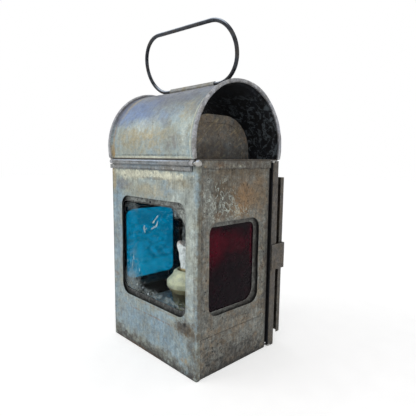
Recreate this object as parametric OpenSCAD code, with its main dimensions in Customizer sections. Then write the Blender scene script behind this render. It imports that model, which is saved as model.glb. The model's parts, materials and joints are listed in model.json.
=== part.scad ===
/* [Case] */
// Width of the case across the front
case_w = 106; // [96:1:116]
// Depth of the case from the front face to the rear edge of the side walls
case_d = 74.8; // [72:0.2:76]
// Height of the eave, where the hood sits down on the case
eave_h = 150; // [145:1:160]
// Distance from the front face back to the line of the crown
crown_setback = 41; // [41:0.1:41.6]
// Thickness of the tinned sheet
sheet = 0.7; // [0.6:0.1:0.8]
// Width of the lap seam that wraps round each front corner
lap_w = 2.4; // [1.5:0.1:4]
// Height of the band along the top of each side wall
band_h = 5.6; // [4:0.1:8]

/* [Windows] */
// Width of the front window
front_win_w = 79.6; // [70:0.1:82]
// Height of the front window
front_win_h = 80.5; // [70:0.5:84]
// Height of the front window's sill
front_win_sill = 40.7; // [38:0.1:44]
// Shift of the front window to the right of the middle
front_win_shift = 1.1; // [-2:0.1:2]
// Depth of the side windows from front to back
side_win_w = 51.8; // [44:0.1:54]
// Height of the side windows
side_win_h = 66; // [56:0.5:72]
// Height of the side windows' sill
side_win_sill = 42; // [40:0.5:46]
// Distance from the front face to the middle of the side windows
side_win_mid = 37.7; // [36:0.1:39]
// Corner radius of the windows
win_r = 8; // [5:0.5:11]
// Thickness of the glass
glass_t = 2; // [1.6:0.1:2]

/* [Hood] */
// Outer radius of the hood's sheet
hood_r = 43.4; // [43:0.1:43.8]
// Height of the hood's round above the eave
hood_rise = 10; // [9:0.5:12]
// Radius of the wire in the hood's rims
rim_r = 1.5; // [1:0.1:1.6]
// Outer width of the chimney inside the hood, from front to back
chimney_w = 69.4; // [64:0.2:72]
// Height of the chimney above the deck
chimney_h = 31.6; // [28:0.1:34]
// Outer radius of the chimney's rounded shoulders
shoulder_r = 26.6; // [20:0.1:28]
// Half the chimney's length
chimney_half = 27.8; // [27.6:0.1:36]

/* [Handle] */
// Radius of the handle's wire
wire_r = 1.5; // [1.2:0.05:1.8]
// Half the length of the handle's straight sides
handle_half = 29.8; // [28:0.1:31]
// Radius of the handle's left bend
handle_bend_left = 22.3; // [20:0.1:24]
// Radius of the handle's right bend
handle_bend_right = 21.1; // [20:0.1:24]
// Forward lean of the handle as it stands
handle_lean = 13.4; // [0:0.1:30]

/* [Back] */
// Height of the guide rails that take the lamp iron
rail_h = 128.4; // [110:0.1:134]
// Height of the rails' lower ends
rail_foot = 8.6; // [4:0.1:12]
// Width of the slot between the rails
slot_w = 50; // [40:1:60]
// Depth of the slot from the door to the strap
slot_d = 9.7; // [8:0.1:11]
// Height of the strap
strap_h = 20.5; // [16:0.5:30]
// Height of the strap's lower edge
strap_foot = 64; // [50:1:80]

/* [Fount and burner] */
// Width of the oil fount
fount_w = 90; // [80:1:90]
// Depth of the oil fount
fount_d = 63; // [56:1:63]
// Height of the oil fount's top
fount_h = 27.5; // [24:0.5:28]
// Largest radius of the burner's gallery
gallery_r = 17.7; // [16:0.1:18]
// Radius of the wick where it leaves its tube
wick_r = 6.8; // [6:0.1:7]
// Height of the wick's tip
wick_top = 85; // [80:1:90]

/* [Hidden] */
$fn = 96;

// A little extra that carries a cut past the face it opens
cut = 1;
// Gap between pieces that move past each other
clear = 0.3;
// Radial clearance of a wire that turns in an eye or a tube
run_fit = 0.06;
// Gap of pieces that lie against each other
rest_fit = 0.05;

// Places on the case
front_y = -crown_setback;
rear_y = front_y + case_d;
side_x = case_w / 2 - sheet;
side_in = side_x - sheet;
flange_w = 7;

// Pane frames: a lining set back from the wall, then the glass, then lips behind the glass
recess = 2.3;
lining_t = 0.6;
lip_t = 0.6;
lip_w = 1.4;
glass_lap = 4;
frame_wall = 0.7;

// How far each lining's hole stands inside its window: front or left, rear or right, top and bottom
left_inset = [-2.6, 2.6, 0.8, 4.2];
right_inset = [-2.6, 3, 3.4, 2.2];
front_inset = [-3.2, 2, 4.7, 3.2];
// Corner radii of each hole: upper front or left, upper rear or right, then the lower two likewise
left_corners = [9, 7, 9, 4.5];
right_corners = [8, 5, 8, 10];
front_corners = [5, 20, 8, 8];

// Hood hinge at the front eave
hinge_y = front_y - 2;
hinge_z = eave_h - 1.9;
hinge_r = 1.8;
hinge_pin_r = 1;
knuckle_r = hinge_r - 0.1;
strip_foot = eave_h - 7.4;
barrel_left = 46.2;
barrel_right = 47.6;
knuckle_w = 3.6;
ball_r = 2.3;

// Hood and chimney
deck_z = eave_h + clear;
deck_t = 0.7;
deck_top = deck_z + deck_t;
hood_z = eave_h + hood_rise;
hood_half = case_w / 2 - 0.2;
hood_left = hood_half - 2.6;
hood_t = 0.7;
rim_rise_right = 0.9;
rim_rise_left = 0.7;
flue_w = 55;
flue_d = 60;
vent_rise = 9;
vent_r = 2.5;
vent_pitch = 10;
border_w = 6;

// Handle
tube_r = 2.1;
tube_half = 25.8;
handle_z = hood_z + hood_r + tube_r - 0.1;

// Back door and its hinge
door_gap = 3.2;
door_side = case_w / 2 + 1.1;
door_front = rear_y + door_gap;
door_back = door_front + 5.4;
door_foot = 0.6;
door_head = eave_h - 0.1;
pin_x = case_w / 2 - 0.1;
pin_y = door_front;
door_pin_r = 0.7;
bead_r = 1.25;
roll_r = 0.85;
ear_t = 1.2;
ear_low = 0.5;
ear_high = eave_h - 1.4;
collar_x = case_w / 2 - 2.7;
collar_out = 6;
collar_low = 3;
collar_high = eave_h - 3;
rail_side = case_w / 2 - 0.3;
rail_web = rail_side - 6;
rail_lip = 3.9;
rail_back = door_back + slot_d;
strap_t = 1.2;
strap_side = door_side + strap_t;

// Fount and burner
base_t = 1;
fount_y = -2.5;
fount_wall = 0.8;
fount_r = 10;
stub_r = 8.5;
collar_r = 9.8;
collar_top = fount_h + 3;
bowl_foot = collar_top + 0.3;
bowl_head = fount_h + 15.5;
gallery_low = bowl_head + 5;
gallery_mid = bowl_head + 8.8;
gallery_neck = bowl_head + 13.6;
gallery_head = bowl_head + 18;
wick_tube_r = 7.6;
wick_flare = 10.1;
spindle_x = 9.4;
spindle_z = bowl_foot + 7;
spindle_r = 1;
wheel_y = 21;
wheel_r = 6.5;
wheel_t = 2.5;
spur_r = 2.4;
spur_t = 1;
spur_gap = 3;
knurls = 20;

// A profile in the plane of depth and height, drawn out along the width
module along_width(from, to) {
    translate([from, 0, 0])
        rotate([90, 0, 90])
            linear_extrude(to - from)
                children();
}

// A shape drawn in width and height and built inwards from the front wall
module on_front() {
    translate([0, front_y + sheet, 0])
        mirror([0, 1, 0])
            rotate([90, 0, 0])
                children();
}

// A shape drawn in depth and height and built inwards from the left wall
module on_left() {
    translate([-side_in, 0, 0])
        rotate([90, 0, 90])
            children();
}

module on_right() {
    mirror([1, 0, 0])
        on_left()
            children();
}

module rounded_rect(w, h, r) {
    square([w, h - 2 * r], center = true);
    square([w - 2 * r, h], center = true);
    for (sx = [-1, 1], sy = [-1, 1])
        translate([sx * (w / 2 - r), sy * (h / 2 - r)])
            circle(r);
}

// A rectangle whose corners each have their own radius: an eight-sided middle, and four circles
module cornered_rect(w, h, corners) {
    a = w / 2;
    b = h / 2;
    tl = corners[0];
    tr = corners[1];
    bl = corners[2];
    br = corners[3];
    polygon([[-a, b - tl], [-a, bl - b], [bl - a, -b], [a - br, -b], [a, br - b], [a, b - tr],
        [a - tr, b], [tl - a, b]]);
    translate([tl - a, b - tl])
        circle(tl);
    translate([a - tr, b - tr])
        circle(tr);
    translate([bl - a, bl - b])
        circle(bl);
    translate([a - br, br - b])
        circle(br);
}

// A window's hole in the wall, from its sill up
module window_hole(mid, sill, w, h) {
    translate([mid, sill + h / 2])
        rounded_rect(w, h, win_r);
}

// Three-sided outline, open at the top, that holds a pane's sides and bottom
module channel_outline(w, h, inner) {
    difference() {
        square([w, h], center = true);
        translate([0, inner])
            square([w - 2 * inner, h], center = true);
    }
}

// Lining with its own hole behind a window, held off the wall, with channels for the pane
module pane_frame(mid, sill, w, h, inset, corners) {
    full_w = w + 2 * (glass_lap + frame_wall + clear);
    full_h = h + 2 * (glass_lap + frame_wall + clear);
    hole_w = w - inset[0] - inset[1];
    hole_h = h - inset[2] - inset[3];
    glass_z = recess + lining_t;
    glass_room = glass_t + 2 * rest_fit;
    translate([mid, sill + h / 2, 0]) {
        linear_extrude(recess)
            difference() {
                square([full_w, full_h], center = true);
                square([full_w - 2 * frame_wall, full_h - 2 * frame_wall], center = true);
            }
        translate([0, 0, recess])
            linear_extrude(lining_t)
                difference() {
                    square([full_w, full_h], center = true);
                    translate([(inset[0] - inset[1]) / 2, (inset[3] - inset[2]) / 2])
                        cornered_rect(hole_w, hole_h, corners);
                }
        translate([0, 0, glass_z])
            linear_extrude(glass_room)
                channel_outline(full_w, full_h, frame_wall);
        translate([0, 0, glass_z + glass_room])
            linear_extrude(lip_t)
                channel_outline(full_w, full_h, frame_wall + lip_w);
    }
}

module pane(mid, sill, w, h) {
    translate([mid, sill + h / 2, recess + lining_t + rest_fit])
        linear_extrude(glass_t)
            square([w + 2 * glass_lap, h + 2 * glass_lap], center = true);
}

function side_mid() = front_y + side_win_mid;

module front_panel() {
    color("slategray") {
        on_front()
            mirror([0, 0, 1])
                linear_extrude(sheet)
                    difference() {
                        translate([-case_w / 2, 0])
                            square([case_w, eave_h]);
                        window_hole(front_win_shift, front_win_sill, front_win_w, front_win_h);
                    }
        for (side = [0, 1])
            mirror([side, 0, 0])
                translate([side_x, front_y, 0])
                    cube([sheet, sheet + lap_w, eave_h]);
    }
}

module side_panel() {
    translate([-side_x, 0, 0])
        rotate([90, 0, 90])
            linear_extrude(sheet)
                difference() {
                    translate([front_y + sheet, 0])
                        square([case_d - sheet, eave_h]);
                    window_hole(side_mid(), side_win_sill, side_win_w, side_win_h);
                }
    translate([-side_x, rear_y - sheet, 0])
        cube([flange_w, sheet, eave_h]);
}

module left_panel() {
    color("slategray")
        side_panel();
}

module right_panel() {
    color("dimgray")
        mirror([1, 0, 0])
            side_panel();
}

// Band with a rounded upper edge, folded over the top of a side wall
module top_band() {
    band_t = 1;
    seam_gap = 0.2;
    band_front = front_y + sheet + lap_w + seam_gap;
    translate([-side_x - band_t, band_front, eave_h - band_h])
        cube([band_t, rear_y - band_front, band_h - band_t / 2]);
    translate([-side_x - band_t / 2, band_front, eave_h - band_t / 2])
        rotate([-90, 0, 0])
            cylinder(rear_y - band_front, r = band_t / 2, $fn = 32);
}

module left_top_band() {
    color("dimgray")
        top_band();
}

module right_top_band() {
    color("dimgray")
        mirror([1, 0, 0])
            top_band();
}

module base_plate() {
    flange_h = 6;
    base_d = case_d - 2 * sheet;
    color("slategray")
        translate([-side_in, front_y + sheet, 0])
            difference() {
                cube([2 * side_in, base_d, flange_h]);
                translate([sheet, sheet, base_t])
                    cube([2 * (side_in - sheet), base_d - 2 * sheet, flange_h]);
            }
}

// Plate across the back of the side walls, with a collar that stands out round its doorway
module rear_collar() {
    plate_low = 0.5;
    opening_w = 2 * (collar_x - sheet);
    opening_h = collar_high - collar_low - 2 * sheet;
    color("dimgray")
        translate([0, rear_y, 0])
            difference() {
                union() {
                    translate([-side_in, 0, plate_low])
                        cube([2 * side_in, sheet, eave_h - 2 * plate_low]);
                    translate([-collar_x, 0, collar_low])
                        cube([2 * collar_x, collar_out, collar_high - collar_low]);
                }
                translate([-opening_w / 2, -cut, collar_low + sheet])
                    cube([opening_w, collar_out + 2 * cut, opening_h]);
            }
}

// Frame of the front pane, with a small hole near its upper edge
module front_pane_frame() {
    pin_hole = [-3.5, 118.2];
    pin_hole_r = 1.1;
    color("darkslategray")
        on_front()
            difference() {
                pane_frame(front_win_shift, front_win_sill, front_win_w, front_win_h, front_inset,
                    front_corners);
                translate([pin_hole[0], pin_hole[1], recess - cut])
                    cylinder(lining_t + 2 * cut, r = pin_hole_r, $fn = 32);
            }
}

module left_pane_frame() {
    color("darkslategray")
        on_left()
            pane_frame(side_mid(), side_win_sill, side_win_w, side_win_h, left_inset, left_corners);
}

module right_pane_frame() {
    color("darkslategray")
        on_right()
            pane_frame(side_mid(), side_win_sill, side_win_w, side_win_h, right_inset, right_corners);
}

module front_glass() {
    color("whitesmoke")
        on_front()
            pane(front_win_shift, front_win_sill, front_win_w, front_win_h);
}

module left_glass() {
    color("deepskyblue")
        on_left()
            pane(side_mid(), side_win_sill, side_win_w, side_win_h);
}

module right_glass() {
    color("darkred")
        on_right()
            pane(side_mid(), side_win_sill, side_win_w, side_win_h);
}

// Leaf soldered along the front, with its top rolled into a barrel between the hood's knuckles
module hood_hinge_strip() {
    leaf_left = -case_w / 2 - 1.4;
    leaf_notch = 0.4;
    leaf_top = hinge_z - hinge_r - leaf_notch;
    color("slategray")
        difference() {
            union() {
                translate([leaf_left, front_y - sheet, strip_foot])
                    cube([barrel_right - leaf_left, sheet, leaf_top - strip_foot]);
                translate([-barrel_left, front_y - sheet, strip_foot])
                    cube([barrel_left + barrel_right, sheet, hinge_z - strip_foot]);
                translate([-barrel_left, hinge_y, hinge_z])
                    rotate([0, 90, 0])
                        cylinder(barrel_left + barrel_right, r = hinge_r);
            }
            translate([-barrel_left - cut, hinge_y, hinge_z])
                rotate([0, 90, 0])
                    cylinder(barrel_left + barrel_right + 2 * cut, r = hinge_pin_r);
        }
}

// Wire through the barrel and the hood's eyes, with a ball peened on its right end
module hood_hinge_pin() {
    pin_stub = 0.4;
    ball_sink = 0.5;
    pin_left = -barrel_left - clear - knuckle_w - pin_stub;
    pin_right = case_w / 2 + 1;
    color("silver") {
        translate([pin_left, hinge_y, hinge_z])
            rotate([0, 90, 0])
                cylinder(pin_right - pin_left, r = hinge_pin_r);
        translate([pin_right + ball_r - ball_sink, hinge_y, hinge_z])
            sphere(ball_r, $fn = 48);
    }
}

// Ear that reaches from the collar to the pin
module hinge_ear(z) {
    difference() {
        union() {
            translate([collar_x, pin_y - bead_r, z])
                cube([pin_x - collar_x, 2 * bead_r, ear_t]);
            translate([pin_x, pin_y, z])
                cylinder(ear_t, r = bead_r);
        }
        translate([pin_x, pin_y, z - cut])
            cylinder(ear_t + 2 * cut, r = door_pin_r);
    }
}

module door_hinge_ears() {
    color("dimgray") {
        hinge_ear(ear_low);
        hinge_ear(ear_high);
    }
}

module door_hinge_pin() {
    color("silver")
        translate([pin_x, pin_y, ear_low])
            cylinder(ear_high + ear_t - ear_low, r = door_pin_r);
}

// Strip on the collar's left side, with a raised middle that the door's rolled edge snaps over
module door_catch_spring() {
    strip_h = 30;
    bump_h = 10;
    bump_r = 1.3;
    color("dimgray")
        translate([-collar_x, rear_y, eave_h / 2 - strip_h / 2])
            difference() {
                union() {
                    translate([-sheet, sheet, 0])
                        cube([sheet, collar_out - sheet, strip_h]);
                    translate([-sheet, collar_out - bump_r, (strip_h - bump_h) / 2])
                        cylinder(bump_h, r = bump_r, $fn = 48);
                }
                translate([0, 0, -cut])
                    cube([2 * bump_r, collar_out + cut, strip_h + 2 * cut]);
            }
}

// Ring sector of the hood in depth and height, above the deck
module arch(outer, inner) {
    intersection() {
        translate([0, hood_z])
            difference() {
                circle(outer, $fn = 180);
                circle(inner, $fn = 180);
            }
        translate([-2 * outer, deck_top])
            square([4 * outer, 4 * outer]);
    }
}

// How far the rim's wire reaches in from its own middle, at the middle of the sheet's thickness
function wire_reach(rise) = sqrt(rim_r * rim_r - (rise + hood_t / 2) * (rise + hood_t / 2));

// Sheet whose edges end on the rim's wires
module hood_sheet() {
    color("slategray")
        difference() {
            along_width(wire_reach(rim_rise_left) - hood_left, hood_half - wire_reach(rim_rise_right))
                arch(hood_r, hood_r - hood_t);
            hood_rim(-hood_left, rim_rise_left);
            hood_rim(hood_half, rim_rise_right);
        }
}

// Wired edge of the hood, bent round just above the deck
module hood_rim(x, rise) {
    ring_r = hood_r + rise;
    deck_gap = 0.2;
    sink = asin((hood_z - deck_top - deck_gap) / ring_r);
    translate([x, 0, hood_z])
        rotate([90, 0, 90])
            rotate([0, 0, -sink])
                rotate_extrude(angle = 180 + 2 * sink, $fn = 180)
                    translate([ring_r, 0])
                        circle(rim_r, $fn = 32);
}

module hood_rim_left() {
    color("dimgray")
        hood_rim(-hood_left, rim_rise_left);
}

module hood_rim_right() {
    color("dimgray")
        hood_rim(hood_half, rim_rise_right);
}

module hood_deck() {
    deck_half = sqrt(hood_r * hood_r - (hood_z - deck_top) * (hood_z - deck_top));
    color("dimgray")
        difference() {
            translate([-hood_half, -deck_half, deck_z])
                cube([2 * hood_half, 2 * deck_half, deck_t]);
            translate([-flue_w / 2, -flue_d / 2, deck_z - cut])
                cube([flue_w, flue_d, deck_t + 2 * cut]);
        }
}

module hood_knuckles() {
    tab_t = 1.6;
    color("dimgray")
        for (x = [-barrel_left - clear - knuckle_w, barrel_right + clear])
            difference() {
                union() {
                    translate([x, hinge_y, hinge_z])
                        rotate([0, 90, 0])
                            cylinder(knuckle_w, r = knuckle_r);
                    translate([x, hinge_y - tab_t / 4, hinge_z])
                        cube([knuckle_w, tab_t, deck_z - hinge_z]);
                }
                translate([x - cut, hinge_y, hinge_z])
                    rotate([0, 90, 0])
                        cylinder(knuckle_w + 2 * cut, r = hinge_pin_r + run_fit);
            }
}

// The chimney's outline with rounded shoulders, grown outwards by some way, from a foot up
module tunnel(grow, foot) {
    half = chimney_w / 2 + grow;
    head = deck_top + chimney_h + grow;
    r = shoulder_r + grow;
    intersection() {
        union() {
            translate([-half, 0])
                square([2 * half, head - r]);
            translate([r - half, 0])
                square([2 * (half - r), head]);
            for (side = [-1, 1])
                translate([side * (half - r), head - r])
                    circle(r, $fn = 180);
        }
        translate([-2 * half, foot])
            square([4 * half, head]);
    }
}

module chimney_barrel() {
    color("dimgray")
        difference() {
            along_width(-chimney_half, chimney_half)
                difference() {
                    tunnel(0, deck_top);
                    tunnel(-sheet, deck_top - cut);
                }
            for (x = [-2 : 2])
                translate([x * vent_pitch, -chimney_w / 2 - cut, deck_top + vent_rise])
                    rotate([-90, 0, 0])
                        cylinder(chimney_w + 2 * cut, r = vent_r);
        }
}

// Arched end of the chimney, with a raised border along its outline
module chimney_end() {
    border_t = 0.6;
    along_width(chimney_half, chimney_half + sheet)
        tunnel(border_t, deck_top);
    along_width(chimney_half + sheet, chimney_half + sheet + border_t)
        difference() {
            tunnel(border_t, deck_top);
            tunnel(border_t - border_w, deck_top - cut);
        }
}

module chimney_end_left() {
    color("dimgray")
        mirror([1, 0, 0])
            chimney_end();
}

module chimney_end_right() {
    color("dimgray")
        chimney_end();
}

// Tube on the crown, with the solder that fills in beside it
module handle_tube() {
    solder_w = 3.4;
    color("slategray")
        difference() {
            union() {
                translate([-tube_half, 0, handle_z])
                    rotate([0, 90, 0])
                        cylinder(2 * tube_half, r = tube_r);
                along_width(-tube_half, tube_half)
                    translate([-solder_w / 2, hood_z])
                        square([solder_w, handle_z - hood_z]);
            }
            along_width(-tube_half - cut, tube_half + cut)
                translate([0, hood_z])
                    circle(hood_r, $fn = 180);
            translate([-tube_half - cut, 0, handle_z])
                rotate([0, 90, 0])
                    cylinder(2 * (tube_half + cut), r = wire_r + run_fit);
        }
}

// One bend of the ring, turned about the end of the straight side
module handle_bend(side, r) {
    translate([side * handle_half, r, 0])
        rotate([0, 0, side > 0 ? -90 : 90])
            rotate_extrude(angle = 180, $fn = 96)
                translate([r, 0])
                    circle(wire_r, $fn = 32);
}

module ring_handle() {
    rise = 2 * (handle_bend_left - handle_bend_right);
    run = 2 * handle_half;
    color("dimgray")
        translate([0, 0, handle_z])
            rotate([90 + handle_lean, 0, 0]) {
                translate([-handle_half, 0, 0])
                    rotate([0, 90, 0])
                        cylinder(run, r = wire_r);
                handle_bend(-1, handle_bend_left);
                handle_bend(1, handle_bend_right);
                translate([-handle_half, 2 * handle_bend_left, 0])
                    rotate([0, 0, -atan(rise / run)])
                        rotate([0, 90, 0])
                            cylinder(sqrt(run * run + rise * rise), r = wire_r);
            }
}

// Room for the ears at both ends of the hinge edge
module ear_room() {
    ear_room_r = bead_r + 0.7;
    for (z = [door_foot - cut, ear_high - clear])
        translate([pin_x, pin_y, z])
            cylinder(cut + ear_low + ear_t + clear - door_foot, r = ear_room_r);
}

// Tray with its right edge rolled round the pin and its left edge rolled shut
module door_panel() {
    barrel_low = ear_low + ear_t + clear;
    barrel_high = ear_high - clear;
    door_h = door_head - door_foot;
    fold_w = 2.6;
    color("slategray")
        difference() {
            union() {
                translate([-door_side, door_back - sheet, door_foot])
                    cube([2 * door_side, sheet, door_h]);
                for (x = [-door_side, door_side - sheet])
                    translate([x, door_front, door_foot])
                        cube([sheet, door_back - door_front, door_h]);
                for (z = [door_foot, door_head - sheet])
                    translate([-door_side, door_back - fold_w, z])
                        cube([2 * door_side, fold_w, sheet]);
                translate([pin_x, pin_y, barrel_low])
                    cylinder(barrel_high - barrel_low, r = bead_r);
                translate([-door_side + roll_r, door_front, door_foot])
                    cylinder(door_h, r = roll_r);
            }
            translate([pin_x, pin_y, -cut])
                cylinder(eave_h + 2 * cut, r = door_pin_r + run_fit);
            ear_room();
        }
}

// Folded rail: a channel beside the slot, and a flange with a turned lip that reaches to the door's edge
module guide_rail() {
    slot_x = slot_w / 2;
    translate([0, 0, rail_foot])
        linear_extrude(rail_h) {
            difference() {
                translate([slot_x, door_back])
                    square([rail_web - slot_x, slot_d]);
                translate([slot_x + sheet, door_back - cut])
                    square([rail_web - slot_x - 2 * sheet, slot_d + cut - sheet]);
            }
            translate([rail_web - sheet, rail_back - sheet])
                square([rail_side - rail_web + sheet, sheet]);
            translate([rail_side - sheet, rail_back - rail_lip])
                square([sheet, rail_lip]);
        }
}

module guide_rail_left() {
    color("slategray")
        mirror([1, 0, 0])
            guide_rail();
}

module guide_rail_right() {
    color("slategray")
        guide_rail();
}

// Strap round the door's sides and the rails' backs
module belt_strap() {
    corner_r = 2;
    strap_back = rail_back + strap_t;
    strap_turn = 0.8;
    strap_front = door_front - strap_turn;
    color("gray")
        translate([0, 0, strap_foot])
            linear_extrude(strap_h)
                difference() {
                    union() {
                        translate([-strap_side, strap_front])
                            square([2 * strap_side, strap_back - corner_r - strap_front]);
                        translate([-strap_side + corner_r, strap_front])
                            square([2 * (strap_side - corner_r), strap_back - strap_front]);
                        for (side = [-1, 1])
                            translate([side * (strap_side - corner_r), strap_back - corner_r])
                                circle(corner_r, $fn = 48);
                    }
                    translate([-door_side - rest_fit, strap_front - cut])
                        square([2 * (door_side + rest_fit), rail_back + rest_fit + cut - strap_front]);
                }
}

module belt_rivets() {
    rivet_r = 1.8;
    rivet_h = 0.9;
    head_taper = 0.6;
    rivet_in = 5;
    rivet_x = slot_w / 2 + rivet_in;
    color("dimgray")
        for (x = [-rivet_x, rivet_x, rivet_in - rail_web, rail_web - rivet_in])
            for (z = [strap_foot + rivet_in, strap_foot + strap_h - rivet_in])
                translate([x, rail_back + strap_t, z])
                    rotate([-90, 0, 0])
                        cylinder(rivet_h, r1 = rivet_r, r2 = rivet_r - head_taper, $fn = 32);
}

module fount_outline(shrink) {
    translate([0, fount_y])
        rounded_rect(fount_w - 2 * shrink, fount_d - 2 * shrink, fount_r - shrink);
}

module fount_tank() {
    color("silver")
        difference() {
            translate([0, 0, base_t + clear])
                linear_extrude(fount_h - fount_wall - base_t - clear)
                    fount_outline(0);
            translate([0, 0, base_t + clear + fount_wall])
                linear_extrude(fount_h)
                    fount_outline(fount_wall);
        }
}

module fount_top() {
    color("silver")
        translate([0, 0, fount_h - fount_wall])
            linear_extrude(fount_wall)
                difference() {
                    fount_outline(0);
                    translate([0, fount_y])
                        circle(stub_r + run_fit);
                }
}

// Threaded ring on the fount's top
module fount_collar() {
    color("goldenrod")
        translate([0, fount_y, fount_h])
            difference() {
                cylinder(collar_top - fount_h, r = collar_r);
                translate([0, 0, -cut])
                    cylinder(collar_top - fount_h + 2 * cut, r = stub_r + run_fit);
            }
}

// Bowl with the threaded stub below it, and a sleeve through its side that carries the spindle
module burner_bowl() {
    wall = 0.8;
    stub_foot = fount_h - 1;
    sleeve_r = 1.8;
    sleeve_in = 4.8;
    sleeve_out = 11.4;
    color("goldenrod")
        translate([0, fount_y, 0])
            difference() {
                union() {
                    rotate_extrude()
                        polygon([[stub_r - wall, stub_foot], [stub_r, stub_foot], [stub_r, bowl_foot],
                            [11, bowl_foot + 0.8], [12.5, bowl_foot + 2.6], [13.5, bowl_foot + 8.6],
                            [13.9, bowl_head], [13.9 - wall, bowl_head], [13.5 - wall, bowl_foot + 8.6],
                            [12.5 - wall, bowl_foot + 3.1], [10.6, bowl_foot + 1.6],
                            [stub_r - wall, bowl_foot + 0.8]]);
                    translate([spindle_x, sleeve_in, spindle_z])
                        rotate([-90, 0, 0])
                            cylinder(sleeve_out - sleeve_in, r = sleeve_r, $fn = 48);
                }
                translate([spindle_x, 0, spindle_z])
                    rotate([-90, 0, 0])
                        cylinder(wheel_y, r = spindle_r + run_fit, $fn = 48);
            }
}

// Gallery round the wick tube: an upright rim, a flare above it and a collar at the top
module burner_gallery() {
    wall = 0.7;
    cone_r = 9.6;
    neck_r = 13;
    neck_top = gallery_neck + 2.6;
    color("khaki")
        translate([0, fount_y, 0])
            rotate_extrude()
                polygon([[13.9 - wall, bowl_head], [14.5, bowl_head], [gallery_r, gallery_low],
                    [gallery_r, gallery_mid], [neck_r, gallery_neck], [neck_r - 0.8, neck_top],
                    [cone_r, gallery_head], [cone_r - wall, gallery_head - 0.4],
                    [neck_r - 0.8 - wall, neck_top - 0.4], [neck_r - wall, gallery_neck - 0.2],
                    [gallery_r - wall, gallery_mid - 0.4], [gallery_r - wall, gallery_low + 0.5],
                    [14.2 - wall, bowl_head + wall],
                    [wick_tube_r, bowl_head + wall], [wick_tube_r, bowl_head]]);
}

module wick_tube() {
    tube_wall = 0.6;
    tube_foot = bowl_foot + 1;
    tube_head = gallery_head + 1.5;
    slot_h = 8;
    color("goldenrod")
        translate([0, fount_y, 0])
            difference() {
                translate([0, 0, tube_foot])
                    cylinder(tube_head - tube_foot, r = wick_tube_r);
                translate([0, 0, tube_foot - cut])
                    cylinder(tube_head - tube_foot + 2 * cut, r = wick_tube_r - tube_wall);
                translate([0, -spur_gap, spindle_z - slot_h / 2])
                    cube([wick_tube_r + cut, 2 * spur_gap, slot_h]);
            }
}

// Round cotton wick with a frayed, spread head
module wick() {
    neck = gallery_head + 3;
    color("white")
        translate([0, fount_y, 0])
            rotate_extrude()
                polygon([[0, 6], [wick_r, 6], [wick_r, neck], [wick_flare - 1.2, neck + 9],
                    [wick_flare, wick_top - 4], [wick_flare - 1.6, wick_top - 1], [0, wick_top]]);
}

// Spindle with two spur wheels that bite the wick
module winder_spindle() {
    end_gap = 0.2;
    spur_mid = 1.8;
    color("goldenrod")
        translate([spindle_x, fount_y, spindle_z])
            rotate([-90, 0, 0]) {
                translate([0, 0, end_gap - spur_gap])
                    cylinder(wheel_y + spur_gap - end_gap, r = spindle_r, $fn = 48);
                for (z = [-spur_mid, spur_mid])
                    translate([0, 0, z - spur_t / 2])
                        linear_extrude(spur_t)
                            for (turn = [0 : 30 : 60])
                                rotate(turn)
                                    square(spur_r * sqrt(2), center = true);
            }
}

// Thumb wheel with a grooved edge
module winder_wheel() {
    groove_r = 0.6;
    groove_out = 0.2;
    color("goldenrod")
        translate([spindle_x, fount_y + wheel_y, spindle_z])
            rotate([-90, 0, 0])
                linear_extrude(wheel_t)
                    difference() {
                        circle(wheel_r);
                        for (i = [0 : knurls - 1])
                            rotate(i * 360 / knurls)
                                translate([wheel_r + groove_out, 0])
                                    circle(groove_r, $fn = 16);
                    }
}

front_panel();
left_panel();
right_panel();
left_top_band();
right_top_band();
base_plate();
rear_collar();
front_pane_frame();
left_pane_frame();
right_pane_frame();
front_glass();
left_glass();
right_glass();
hood_hinge_strip();
hood_hinge_pin();
door_hinge_ears();
door_hinge_pin();
door_catch_spring();
hood_sheet();
hood_rim_left();
hood_rim_right();
hood_deck();
hood_knuckles();
chimney_barrel();
chimney_end_left();
chimney_end_right();
handle_tube();
ring_handle();
door_panel();
guide_rail_left();
guide_rail_right();
belt_strap();
belt_rivets();
fount_tank();
fount_top();
fount_collar();
burner_bowl();
burner_gallery();
wick_tube();
wick();
winder_spindle();
winder_wheel();
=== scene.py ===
"""A locomotive gauge lamp: weathered tin plate, coloured panes, a ring handle and a small oil burner.

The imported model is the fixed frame. Sheets, wires, rims, bands, the wick and the solder are surfaces that are
worked out here and stand for their nodes. The other nodes get softened edges, and everything gets a weathered
finish. Plain lengths are millimetres, and every mesh is in metres.
"""

import json
import math
from typing import NamedTuple

import bmesh
import bpy
import numpy as np
from mathutils import Matrix, Vector


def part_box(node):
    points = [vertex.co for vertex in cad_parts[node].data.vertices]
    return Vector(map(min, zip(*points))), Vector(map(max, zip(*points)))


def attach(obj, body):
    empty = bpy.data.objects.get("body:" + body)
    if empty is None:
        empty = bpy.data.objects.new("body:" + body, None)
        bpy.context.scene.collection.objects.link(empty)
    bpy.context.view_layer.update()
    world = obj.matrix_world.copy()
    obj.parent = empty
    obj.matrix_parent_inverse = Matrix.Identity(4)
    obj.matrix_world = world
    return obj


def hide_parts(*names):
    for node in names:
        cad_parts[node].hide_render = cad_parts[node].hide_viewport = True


bl_info = {
    "name": "Locomotive Gauge Lamp",
    "version": (1, 0, 0),
    "blender": (4, 5, 0),
    "location": "View3D > Sidebar > Gauge Lamp",
    "description": "Dresses the packed gauge lamp with weathered tin, panes and a burner",
    "category": "Add Mesh",
}

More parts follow.
